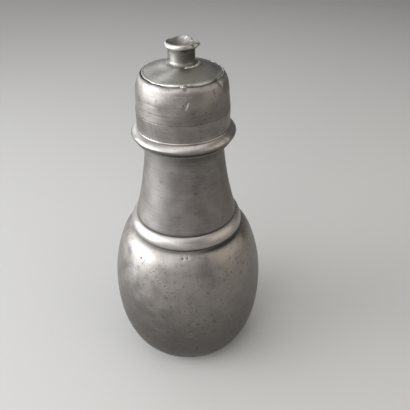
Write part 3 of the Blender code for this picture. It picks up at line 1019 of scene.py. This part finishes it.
def cutThread(mesh, ridge, heights, phase, radius, shell, finish):  # a ridge below 0 points inwards
    lengths = {
        "Pitch": mouth["pitch"], "Ridge height": ridge, "Ridge base": mouth["base"],
        "Ridge crest": mouth["crest"], "Bottom": heights[0], "Top": heights[1], "Run-out": mouth["runOut"],
        "Inner": radius + shell[0], "Outer": radius + shell[1],
    }
    values = {key: length * mm for key, length in lengths.items()}
    return runTree(mesh, trees["thread"], {**values, "Phase": phase, "Finish": finish})


def makeMouth():
    finish = pewterFinish("brightThread", mouth["look"])
    bore, root, bottom, top = (mouth[key] for key in ("bore", "root", "bottom", "top"))
    corners = [(bore, bottom), (root, bottom), (root, top), (bore, top)]
    outside = fineSteps(softCorners(corners, mouth["edge"], True), mouth["spacing"], True)
    mesh, _, _ = turnPiece("mouth", outside, [], mouth["steps"], finish)
    mesh = cutThread(mesh, mouth["ridge"], mouth["thread"], 0.0, root, mouth["shell"], finish)
    return finishPiece("mouthThread", mesh, "bottle", ["threaded_mouth"], mouth["grimeAndShade"])


# leather washer, trapped in the cap
washer = {
    "outer": 18.6,
    "bore": 14.5,
    "bottom": 138.7,
    "top": 141.0,
    "edge": 0.55,
    "steps": 160,
    "spacing": 0.4,
    "uneven": (0.16, 8.0, 41),
    "unevenFrom": (16.6, 18.6),  # radii over which its edge turns uneven
    "thinned": (0.12, 10.0, 42),  # share of its thickness, wave size and seed
}


def makeWasher():
    finish = leatherFinish("oiledLeather")
    low, high = washer["bottom"], washer["top"]
    corners = [(washer["bore"], low), (washer["outer"], low), (washer["outer"], high), (washer["bore"], high)]
    outside = fineSteps(softCorners(corners, washer["edge"], True), washer["spacing"], True)
    mesh, points, _ = turnPiece("washer", outside, [], washer["steps"], finish)
    radius, _ = polar(points)
    points = roughen(points, washer["uneven"], ramp(radius, *washer["unevenFrom"]))
    middle = (low + high) / 2 * mm
    share, size, seed = washer["thinned"]
    points[:, 2] = middle + (points[:, 2] - middle) * (1 - share * ripple(points, size, seed))
    writePoints(mesh, points)
    return finishPiece("washerLeather", mesh, "seal", ["leather_washer"])


# cap collar: mouldings outside, screw thread inside
collar = {
    "bottom": 125.3,
    "top": 139.97,
    "radius": 21.2,
    "bore": 17.7,
    "lead": 0.6,
    "pocket": (18.9, 138.4),  # of the washer: radius and floor
    "fillet": (22.1, 1.0),  # lower fillet: radius and height
    "cove": (0.3, 0.1),  # hollow between the fillet and the torus: width and height
    "torus": (21.6, 129.1, 2.4),  # radius and height of its middle, and its own radius
    "torusFrom": -84,  # degrees
    "torusTop": (21.3, 2.45, 1.35),  # its upper half: where it starts, rise, fullness
    "quirk": (21.54, 131.42),  # fine line between the torus and the beadlet
    "quirkWide": 0.15,
    "beadlet": (131.8, 0.45, 0.45),  # middle, how far it stands out, half its height
    "beadletFrom": -25,
    "band": 0.1,  # how far above the beadlet the plain band starts
    "soft": (0.28, 0.16),  # rounding of the lower and upper corners
    "steps": 300,
    "rows": (15, 40, 12),  # points on the lower and upper torus and the beadlet
    "spacing": (0.32, 0.26),  # outside and inside
    "uneven": (0.06, 16.0, 55),
    "unevenPast": 20.5,  # radius
    "ridge": 0.92,
    "thread": (126.4, 137.6),
    "shell": (-0.2, 0.05),
    "dents": [
        (-38.0, 129.6, 1.5, 1.2, 0.22),
        (-150.0, 128.6, 2.0, 1.4, 0.22),
        (70.0, 129.0, 2.4, 1.6, 0.30),
    ],
    "pits": {
        "seed": 52,
        "between": (127.2, 139.0),
        "clusters": 3,
        "singles": 12,
        "reach": (0.16, 0.30),
        "depth": 0.4,
        "named": [(-112.0, 136.5, 0.36), (-60.0, 136.0, 0.34), (-57.0, 129.4, 0.40), (-80.0, 127.8, 0.36)],
    },
    # the third ring is painted shade on the underside of the torus
    "grimeAndShade": [(22.1, 126.4, 0.6, 0.9), (20.0, 125.3, 1.6, 0.85), (23.5, 127.6, 1.3, 0.55)],
    "wearAndHighlight": [(22.9, 130.8, 2.2, 0.54), (21.65, 131.8, 0.6, 0.60)],
    "look": {
        "dark": (0.160, 0.149, 0.140), "light": (0.250, 0.235, 0.222), "rough": 0.38, "roughSpread": 0.10,
        "speckShare": 0.18, "lineDepth": 0.22,
    },
}


def collarPaths():
    bottom, top, radius = collar["bottom"], collar["top"], collar["radius"]
    bore, lead = collar["bore"], collar["lead"]
    filletRadius, filletHeight = collar["fillet"]
    torusRadius, torusMiddle, torusSize = collar["torus"]
    topStart, topRise, topFullness = collar["torusTop"]
    beadMiddle, beadProud, beadHalf = collar["beadlet"]
    coveWide, coveHigh = collar["cove"]
    pocket, pocketFloor = collar["pocket"]
    lowSoft, highSoft = collar["soft"]
    lowerRows, upperRows, beadRows = collar["rows"]
    ledge = bottom + filletHeight
    foot = [(bore + lead, bottom), (filletRadius, bottom), (filletRadius, ledge)]
    foot = softCorners([*foot, (radius + coveWide, ledge + coveHigh)], lowSoft)
    torus = sweep((torusRadius, torusMiddle), (torusSize, torusSize), collar["torusFrom"], 0, lowerRows)
    topReach = (torusRadius + torusSize - topStart, topRise)
    upper = quarter((topStart, torusMiddle), topReach, topFullness, upperRows)[::-1]
    quirk = collar["quirk"]
    torus += [point for point in upper[1:] if point[0] > quirk[0] + collar["quirkWide"]] + [quirk]
    beadlet = sweep((radius, beadMiddle), (beadProud, beadHalf), collar["beadletFrom"], 90, beadRows)
    band = [(radius, beadMiddle + beadHalf + collar["band"]), (radius, top)]
    head = softCorners([*band, (pocket, top), (pocket, pocketFloor)], highSoft)
    outsideSpacing, insideSpacing = collar["spacing"]
    outside = fineSteps(foot + torus + beadlet + head[:-1], outsideSpacing)
    tube = [(pocket, pocketFloor), (bore, pocketFloor), (bore, bottom + lead), (bore + lead, bottom)]
    inside = fineSteps(tube, insideSpacing)[:-1]
    return outside, inside, torus[2:-1] + band


def makeCollar():
    finish = pewterFinish("rubbedCollar", collar["look"])
    outside, inside, line = collarPaths()
    mesh, _, _ = turnPiece("collar", outside, inside, collar["steps"], finish)
    phase = 0.5 + (collar["thread"][0] - mouth["thread"][0]) / mouth["pitch"]
    mesh = cutThread(mesh, -collar["ridge"], collar["thread"], phase, collar["bore"], collar["shell"], finish)
    points, skin = readPoints(mesh), readValues(mesh, "skin")
    reach, _ = polar(points)
    points = roughen(points, collar["uneven"], skin * (reach > collar["unevenPast"] * mm))
    points = pressDents(points, skin, collar["dents"])
    writePoints(mesh, points)
    mesh = addPits(mesh, line, collar["pits"], finish)
    nodes = ["cap_rim"]
    return finishPiece("capCollar", mesh, "cap", nodes, collar["grimeAndShade"], collar["wearAndHighlight"])


# cap wall: pitted and knocked about
wall = {
    "bottom": (21.2, 140.03),
    "shoulder": (17.9, 147.5, 2.8, 8.5, 1.65),  # inner radius, start, width, height, fullness
    "seat": (154.4, 15.1),  # ledge that carries the crown: height and inner radius
    "inner": [(15.1, 152.2), (18.5, 147.5), (19.0, 143.3), (14.5, 143.3), (14.5, 141.3), (18.9, 141.3)],
    "innerFoot": (18.9, 140.03),
    "soft": (0.16, 0.2),  # rounding of the foot and the lip
    "steps": 380,
    "rows": 40,
    "spacing": 0.30,
    "uneven": (0.20, 11.0, 65),
    "unevenFrom": (140.4, 142.4),
    "unevenPast": 18.1,  # radius
    "ragged": (0.30, 4.5, 66),  # drop of the lip, wave size and seed
    "raggedFrom": (153.8, 155.8),
    "dips": [(-109.0, 13.0, 0.50), (-66.0, 15.0, 0.60), (-50.0, 7.0, 0.25)],  # bearing, spread, depth
    # grooves: height, half width, depth
    "grooves": [(143.4, 0.28, 0.034), (145.3, 0.22, 0.022), (147.2, 0.22, 0.016)],
    "dents": [
        (-86.6, 154.9, 0.8, 0.6, 0.45),
        (-36.0, 154.4, 1.3, 1.0, 0.32),
        (-48.7, 152.3, 0.55, 0.95, 0.32),
        (-132.3, 147.7, 1.5, 0.80, 0.05),
        (-105.0, 146.0, 4.5, 3.0, 0.20),
        (-70.0, 151.0, 4.0, 2.4, 0.22),
        (-120.0, 152.0, 3.0, 1.8, 0.18),
        (60.0, 150.0, 4.0, 3.0, 0.28),
        (150.0, 146.0, 5.0, 3.0, 0.25),
    ],
    "scores": [
        {"path": [(-89.0, 149.1), (-87.7, 147.4), (-84.6, 150.0)], "wide": 0.34, "depth": 0.42},
        {
            "path": [(-42.0, 156.0), (-37.5, 155.2), (-34.5, 154.2), (-33.5, 153.0)],
            "wide": 0.40, "depth": 0.45,
        },
        {"path": [(-140.0, 144.2), (-118.0, 143.6)], "wide": 0.40, "depth": 0.03},
        {"path": [(-75.0, 143.0), (-52.0, 143.8)], "wide": 0.25, "depth": 0.08},
        {"path": [(100.0, 145.0), (128.0, 148.0)], "wide": 0.25, "depth": 0.10},
    ],
    "pits": {
        "seed": 61,
        "between": (140.8, 154.8),
        "clusters": 5,
        "singles": 22,
        "reach": (0.16, 0.30),
        "depth": 0.4,
        "named": [
            (-88.9, 148.7, 0.50), (-130.4, 147.6, 0.28), (-134.4, 147.9, 0.26), (-48.4, 151.8, 0.40),
            (-58.0, 153.4, 0.36), (-126.0, 151.6, 0.36), (-121.0, 151.9, 0.30),
        ],
    },
    "grimeAndShade": [
        (17.9, 155.7, 0.40, 0.8),
        (19.2, 155.0, 0.9, 0.7, -37.5, 2.2),
        (19.8, 154.0, 0.8, 0.7, -34.5, 2.0),
        # dirt in the notch, and a painted shadow under the solder lump
        (18.9, 154.9, 0.7, 0.75, -86.0, 2.4),
        # painted shade on the front and right of the lower wall
        (20.9, 142.6, 4.0, 0.32, -72.0, 42.0),
    ],
    "wearAndHighlight": [(19.1, 154.6, 1.0, 0.3)],
    "look": {
        "rough": 0.49, "roughSpread": 0.14, "speckShare": 0.36, "stain": 0.34, "scratch": 0.9,
        # painted shade: the lower wall darkens downwards
        "lineDepth": 0.20, "lineShade": 0.07, "lowShade": (0.146, 0.166), "lowShadeAmount": 0.34,
    },
}


def makeWall():
    finish = pewterFinish("pittedCap", wall["look"])
    inner, start, wide, tall, fullness = wall["shoulder"]
    shoulder = quarter((inner, start), (wide, tall), fullness, wall["rows"])
    side = [wall["bottom"]] + shoulder[::-1]
    seatHeight, seatInner = wall["seat"]
    footSoft, lipSoft = wall["soft"]
    outside = fineSteps(softCorners([wall["innerFoot"], *side], footSoft), wall["spacing"])
    lip = softCorners([shoulder[1], shoulder[0], (inner, seatHeight)], lipSoft)
    outside = outside[:-1] + lip[1:-1]
    inside = [(inner, seatHeight), (seatInner, seatHeight), *wall["inner"]]
    mesh, points, skin = turnPiece("wall", outside, inside, wall["steps"], finish)
    reach, angle = polar(points)
    free = skin * ramp(points[:, 2], *wall["unevenFrom"]) * (reach > wall["unevenPast"] * mm)
    lipShare = skin * ramp(points[:, 2], *wall["raggedFrom"])
    ragged, size, seed = wall["ragged"]
    drop = ragged * ripple(flattened(points), size, seed)
    for bearing, spread, depth in wall["dips"]:
        drop += depth * nearBearing(angle, bearing, spread)
    points = roughen(points, wall["uneven"], free)
    for height, half, depth in wall["grooves"]:
        away = (points[:, 2] - height * mm) / (half * mm)
        points = pullIn(points, depth * mm * np.exp(-(away**2)) * free)
    points = pressDents(points, free, wall["dents"])
    points = cutScores(points, free, wall["scores"])
    points[:, 2] -= drop * mm * lipShare
    writePoints(mesh, points)
    mesh = addPits(mesh, side, wall["pits"], finish)
    return finishPiece("capWall", mesh, "cap", ["cap_skirt"], wall["grimeAndShade"], wall["wearAndHighlight"])


# crown plate, let into the top of the wall
crown = {
    "hole": 4.5,
    "landing": 5.6,  # a row of points on the flat
    "flat": (6.6, 159.9),
    "edge": (17.6, 156.5),
    "skirt": 0.9,  # height of the edge's side
    "curve": 1.15,
    "round": 0.5,
    "thick": 1.8,
    "bottom": 154.7,
    "seat": 14.8,
    "steps": 320,
    "rows": (40, 8),  # points down the slope and round the edge
    "uneven": (0.22, 10.0, 71),
    "unevenFrom": (8.2, 10.2),  # radii over which the plate turns uneven
    "ragged": 0.36,
    "raggedFrom": (15.8, 17.0),
    "raggedWaves": [(8.5, 72, 0.65), (3.6, 73, 0.35)],  # wave size, seed and share
    "raggedLift": 0.55,  # level of the waves that stays at its height
    "raggedIn": 0.8,
    "dents": [(-35.0, 156.2, 1.6, 1.5, 0.40), (-84.0, 156.0, 0.8, 1.5, 0.25)],
    # the second ring is painted shade on the right of the crown
    "grimeAndShade": [(17.6, 155.0, 0.50, 0.95), (12.5, 158.4, 5.0, 0.33, -48.0, 46.0)],
    "wearAndHighlight": [
        (17.5, 156.1, 0.6, 0.15),
        # these two are partly wear on the edge, partly painted highlight where the edge catches the light
        (17.5, 156.1, 0.9, 1.2, -108.0, 17.0),
        (17.5, 156.1, 0.9, 0.8, -66.0, 18.0),
        # painted highlight on the crown, left of the nozzle
        (8.6, 159.7, 2.4, 0.40, -150.0, 40.0),
    ],
    # a painted highlight streak down the slope, where a lamp reflects on the cone: half width, amount,
    # bearing at the top, turn a step, spread
    "streak": (2.2, 0.62, -112.0, -4.5, 13.0),
    "streakStep": 8,  # rows of the slope
    "look": {
        "dark": (0.208, 0.200, 0.180), "light": (0.312, 0.301, 0.274), "warm": (0.288, 0.276, 0.230),
        "bright": (0.80, 0.775, 0.74), "rough": 0.43, "roughSpread": 0.14, "speckShare": 0.22,
        "lineUp": 0.0, "lineOut": 1.0, "lines": 1100.0, "lineDepth": 0.12,
    },
}


def makeCrown():
    finish = pewterFinish("wornCrown", crown["look"])
    flatRadius, flatHeight = crown["flat"]
    edgeRadius, edgeHeight = crown["edge"]
    slopeRows, edgeRows = crown["rows"]
    rounding = crown["round"]
    run = edgeRadius - 2 * rounding - flatRadius
    rise = flatHeight - edgeHeight
    shares = [step / slopeRows for step in range(slopeRows + 1)]
    falls = [edgeHeight + rise * (1 - share ** crown["curve"]) for share in shares]
    slope = [(flatRadius + run * share, height) for share, height in zip(shares, falls)]
    edge = sweep((edgeRadius - rounding, edgeHeight - rounding), (rounding, rounding), 90, 0, edgeRows)
    outside = [(crown["hole"], flatHeight), (crown["landing"], flatHeight), *slope[:-1], *edge]
    outside.append((edgeRadius, edgeHeight - crown["skirt"]))
    under = flatHeight - crown["thick"]
    inside = [(edgeRadius, crown["bottom"]), (crown["seat"], crown["bottom"])]
    inside += [(flatRadius, under), (crown["hole"], under)]
    mesh, points, skin = turnPiece("crown", outside, inside, crown["steps"], finish)
    reach, _ = polar(points)
    depth, size, seed = crown["uneven"]
    points[:, 2] -= depth * mm * ripple(points, size, seed) * skin * ramp(reach, *crown["unevenFrom"])
    rim = skin * ramp(reach, *crown["raggedFrom"])
    waves = sum(ripple(points, size, seed) * share for size, seed, share in crown["raggedWaves"])
    points[:, 2] += (waves - crown["raggedLift"]) * crown["ragged"] * mm * rim
    points = pullIn(points, waves * crown["raggedIn"] * crown["ragged"] * mm * rim)
    points = pressDents(points, rim, crown["dents"])
    writePoints(mesh, points)
    wearAndHighlight = list(crown["wearAndHighlight"])
    half, amount, bearing, turn, spread = crown["streak"]
    stride = crown["streakStep"]
    # the streak is a painted highlight
    for step, place in enumerate(slope[stride::stride]):
        wearAndHighlight.append((*place, half, amount, bearing + turn * step, spread))
    return finishPiece("capTop", mesh, "cap", ["cap_crown"], crown["grimeAndShade"], wearAndHighlight)


# drinking nozzle with its battered lip
spout = {
    "foot": (8.0, 159.2),
    "stem": 5.8,
    "fillet": (161.5, 160.0, 159.5),  # where the stem starts to spread, the corner, and the edge on the crown
    "lip": (7.15, 168.8, 0.78, 1.06),  # radius, top, half width and half height of the rolled edge
    "roll": (-60, 150),  # degrees of the rolled edge
    "flare": (1.7, 112),  # height of the spread below the lip, and the angle at which it meets it
    "bore": 1.5,
    "boreTop": 161.0,
    "spigot": (4.2, 157.3),  # in the crown's hole: radius and lower end
    "dish": (166.0, 50.0),  # height of its floor, and how it leaves the lip
    "steps": 260,
    "rows": (16, 24, 12, 18),  # points on the fillet, lip, flare and dish
    "spacing": 0.28,
    "tip": (-5.0, 0.95, 12.0),  # torn corner of the lip: bearing, reach, spread in degrees
    "tipDrop": 0.45,  # share of its reach
    "bends": [(80.0, 1.60, 26.0)],  # where the lip is bent out: bearing, reach, spread in degrees
    "nicks": [(-38.0, 0.45, 11.0), (-178.0, 0.20, 7.0), (35.0, 0.75, 13.0), (128.0, 0.30, 14.0)],
    "nickDrop": 0.8,
    "bent": (0.22, 6.0, 81),
    "bentFrom": (164.8, 168.2),  # heights over which the lip gives way
    "bentPower": 1.5,
    "bentOut": (3.0, 6.0),  # radii
    # lumps in the dish: bearing, radius, height, spread
    "lumps": [(64.0, 5.2, 0.75, 1.3), (20.0, 4.6, 0.5, 1.0), (172.0, 5.2, -0.4, 0.8)],
    "crumple": (0.30, 2.6, 82),
    "crumpleAbove": 165.6,
    "crumpleFrom": (1.8, 2.8),  # radii
    "crumpleTo": (6.6, 5.6),
    "grimeAndShade": [
        # painted shade on the right of the stem
        (5.8, 164.0, 3.2, 0.86, -45.0, 46.0),
        # painted shade on the stem under the lip
        (5.8, 166.0, 1.8, 0.48),
        # painted shade on the left of the dish
        (4.2, 166.4, 1.9, 0.66, 170.0, 62.0),
    ],
    "wearAndHighlight": [
        (7.15, 167.74, 1.2, 0.55),
        # partly wear on the rim, partly a painted highlight on its front left
        (7.15, 167.74, 1.9, 1.25, -125.0, 50.0),
        # painted highlight on the stem
        (6.2, 162.0, 2.6, 0.24, -118.0, 14.0),
        # painted highlight on the back right of the dish
        (7.2, 167.4, 2.8, 1.30, 66.0, 30.0),
        # painted highlight on the torn tip
        (7.8, 168.2, 1.2, 0.8, -5.0, 16.0),
    ],
    "look": {
        "dark": (0.152, 0.142, 0.134), "light": (0.242, 0.228, 0.216), "bright": (0.80, 0.775, 0.75),
        "rough": 0.42, "roughSpread": 0.16, "speckShare": 0.22, "blotch": 220.0,
        "lines": 1700.0, "lineDepth": 0.55, "lineShade": 0.12,
    },
}


def spoutPaths():
    footRadius, seat = spout["foot"]
    filletTop, filletCorner, filletBottom = spout["fillet"]
    lipRadius, top, lipWide, lipHigh = spout["lip"]
    stem, bore = spout["stem"], spout["bore"]
    filletRows, lipRows, flareRows, dishRows = spout["rows"]
    fillet = bend((footRadius, filletBottom), (stem, filletCorner), (stem, filletTop), filletRows)
    lip = sweep((lipRadius - lipWide, top - lipHigh), (lipWide, lipHigh), *spout["roll"], lipRows)
    under, edge = lip[0], lip[-1]
    flareHigh, meets = spout["flare"]
    turn = math.radians(meets)
    spread = (under[0] - stem) / (1 + math.cos(turn))
    flareMiddle = (stem + spread, under[1] - flareHigh)
    flare = sweep(flareMiddle, (spread, flareHigh / math.sin(turn)), 180, meets, flareRows)[:-1]
    dishFloor, leave = spout["dish"]
    wide = (edge[0] - bore) / math.cos(math.radians(leave))
    deep = (edge[1] - dishFloor) / (1 - math.sin(math.radians(leave)))
    dish = sweep((bore, dishFloor + deep), (wide, deep), -leave, -90, dishRows)
    outside = fineSteps([(footRadius, seat), *fillet, *flare, *lip, *dish[1:]], spout["spacing"])
    spigot, tail = spout["spigot"]
    return outside, [(bore, spout["boreTop"]), (bore, tail), (spigot, tail), (spigot, seat)]


def batterLip(points, skin):
    reach, angle = polar(points)
    soft = ramp(points[:, 2], *spout["bentFrom"]) ** spout["bentPower"]
    soft *= ramp(reach, *spout["bentOut"]) * skin
    bearing, tipReach, spread = spout["tip"]
    out = tipReach * np.exp(-np.abs(turnTo(angle, bearing)) / math.radians(spread))
    down = spout["tipDrop"] * out
    for bearing, bendReach, spread in spout["bends"]:
        out += bendReach * nearBearing(angle, bearing, spread)
    for bearing, depth, spread in spout["nicks"]:
        nick = depth * nearBearing(angle, bearing, spread)
        out -= nick
        down += spout["nickDrop"] * nick
    bent, size, seed = spout["bent"]
    wave = ripple(flattened(points), size, seed)
    points = pullIn(points, -(out + bent * (wave - 0.5)) * mm * soft)
    points[:, 2] -= (down + bent * wave) * mm * soft
    dished = skin * (points[:, 2] > spout["crumpleAbove"] * mm)
    dished *= ramp(reach, *spout["crumpleFrom"]) * ramp(reach, *spout["crumpleTo"])
    crumple, size, seed = spout["crumple"]
    rise = crumple * (ripple(points, size, seed) - 0.5)
    for bearing, away, tall, spread in spout["lumps"]:
        aside = turnTo(angle, bearing) * reach
        rise += tall * np.exp(-(aside**2 + (reach - away * mm) ** 2) / (spread * mm) ** 2)
    points[:, 2] = np.minimum(points[:, 2] + rise * mm * dished, spout["lip"][1] * mm)
    return points


def makeSpout():
    finish = pewterFinish("batteredSpout", spout["look"])
    outside, inside = spoutPaths()
    mesh, points, skin = turnPiece("spout", outside, inside, spout["steps"], finish)
    writePoints(mesh, batterLip(points, skin))
    return finishPiece("spout", mesh, "cap", ["nozzle"], spout["grimeAndShade"], spout["wearAndHighlight"])


# solder left in the seam of the crown and round the foot of the nozzle
solder = {
    "seamSolder": {
        "Seam radius": 17.78, "Seam height": 155.9, "Bead radius": 0.30, "Start": -40.0, "Sweep": 206.0,
        "Wander": 0.40, "Lumpiness": 1.8, "Lump spacing": 2.6, "Taper": 0.06, "Seed": 4.0,
    },
    "seamLump": {
        "Seam radius": 17.85, "Seam height": 155.70, "Bead radius": 0.62, "Start": -94.0, "Sweep": 10.0,
        "Wander": 0.9, "Lumpiness": 1.4, "Lump spacing": 1.1, "Taper": 0.5, "Seed": 6.0,
    },
    "spoutSolder": {
        "Seam radius": 7.6, "Seam height": 159.85, "Bead radius": 0.60, "Start": -84.0, "Sweep": 88.0,
        "Wander": 0.35, "Lumpiness": 1.3, "Lump spacing": 2.4, "Taper": 0.12, "Seed": 9.0,
    },
}
solderLook = {
    "dark": (0.36, 0.35, 0.32), "light": (0.54, 0.53, 0.49), "warm": (0.50, 0.46, 0.37), "rough": 0.30,
    "speckShare": 0.18, "lineDepth": 0.0,
}


def makeSolder(name, sizes):
    finish = pewterFinish(name + "Finish", solderLook)
    values = {key: value * mm for key, value in sizes.items()}
    values.update({key: math.radians(sizes[key]) for key in ("Start", "Sweep")})
    values.update({"Lumpiness": sizes["Lumpiness"], "Taper": sizes["Taper"], "Finish": finish})
    mesh = runTree(bpy.data.meshes.new(name), trees["solder"], values)
    facesOut(mesh)
    return finishPiece(name, mesh, "cap", [])


makeBowl()
makeBead()
makeNeck()
makeMouth()
makeWasher()
makeCollar()
makeWall()
makeCrown()
makeSpout()
for solderName, solderSizes in solder.items():
    makeSolder(solderName, solderSizes)


# stage: a plain pale floor and soft lamps all round, stronger on the left and warmer on the right
stage = {"floorSize": 8.0, "floor": (0.46, 0.455, 0.445), "floorRough": 0.9, "world": (0.165, 0.165, 0.17)}
# each lamp: place, the height on the bottle's axis that it faces, its width and height, watts, tint,
# and spread in degrees
lamps = {
    "leftSoft": ((-0.65, -0.06, 0.20), 0.10, (0.68, 0.48), 2.95, (0.955, 0.980, 1.0), 100.0),
    "leftHigh": ((-0.49, -0.33, 0.56), 0.12, (0.80, 0.50), 2.25, (0.970, 0.985, 1.0), 180.0),
    "backSoft": ((-0.24, 0.48, 0.80), 0.12, (1.00, 0.90), 2.0, (0.985, 0.990, 1.0), 180.0),
    "backLeft": ((-0.76, 1.08, 0.44), 0.10, (0.90, 0.80), 1.35, (0.975, 0.985, 1.0), 100.0),
    "topSoft": ((0.03, -0.25, 0.96), 0.12, (0.90, 0.60), 2.4, (1.0, 0.985, 0.970), 180.0),
    "frontSoft": ((-0.16, -0.62, 0.72), 0.10, (0.66, 0.62), 1.12, (1.0, 0.980, 0.965), 180.0),
    "leftFront": ((-0.45, -0.60, 0.31), 0.12, (0.44, 0.34), 0.78, (1.0, 0.985, 0.975), 180.0),
    "lowFill": ((-0.16, -0.90, 0.16), 0.09, (0.80, 0.30), 0.75, (1.0, 0.950, 0.930), 180.0),
    "rightSoft": ((0.64, -0.23, 0.34), 0.10, (0.84, 0.60), 1.75, (1.0, 0.92, 0.80), 180.0),
    "backRight": ((0.33, 0.23, 0.84), 0.13, (0.50, 0.44), 0.40, (1.0, 0.95, 0.86), 180.0),
}


def makeStage():
    half = stage["floorSize"] / 2
    mesh = bpy.data.meshes.new("paleFloor")
    corners = [(-half, -half, 0.0), (half, -half, 0.0), (half, half, 0.0), (-half, half, 0.0)]
    mesh.from_pydata(corners, [], [(0, 1, 2, 3)])
    material, _, surface = newMaterial("paleFloor")
    surface.inputs["Base Color"].default_value = (*stage["floor"], 1.0)
    surface.inputs["Roughness"].default_value = stage["floorRough"]
    mesh.materials.append(material)
    floor = link(bpy.data.objects.new("paleFloor", mesh))
    for name, (place, faces, size, watts, tint, spread) in lamps.items():
        light = bpy.data.lights.new(name, "AREA")
        light.shape = "RECTANGLE"
        light.size, light.size_y = size
        light.energy = watts
        light.spread = math.radians(spread)
        light.color = tint
        lamp = link(bpy.data.objects.new(name, light))
        lamp.location = place
        lamp.rotation_euler = (Vector((0.0, 0.0, faces)) - Vector(place)).to_track_quat("-Z", "Y").to_euler()
    world = bpy.data.worlds.new("studio")
    world.use_nodes = True
    world.node_tree.nodes["Background"].inputs["Color"].default_value = (*stage["world"], 1.0)
    bpy.context.scene.world = world
    bpy.context.scene.view_settings.view_transform = "Standard"


makeStage()
print("stage and lamps set")
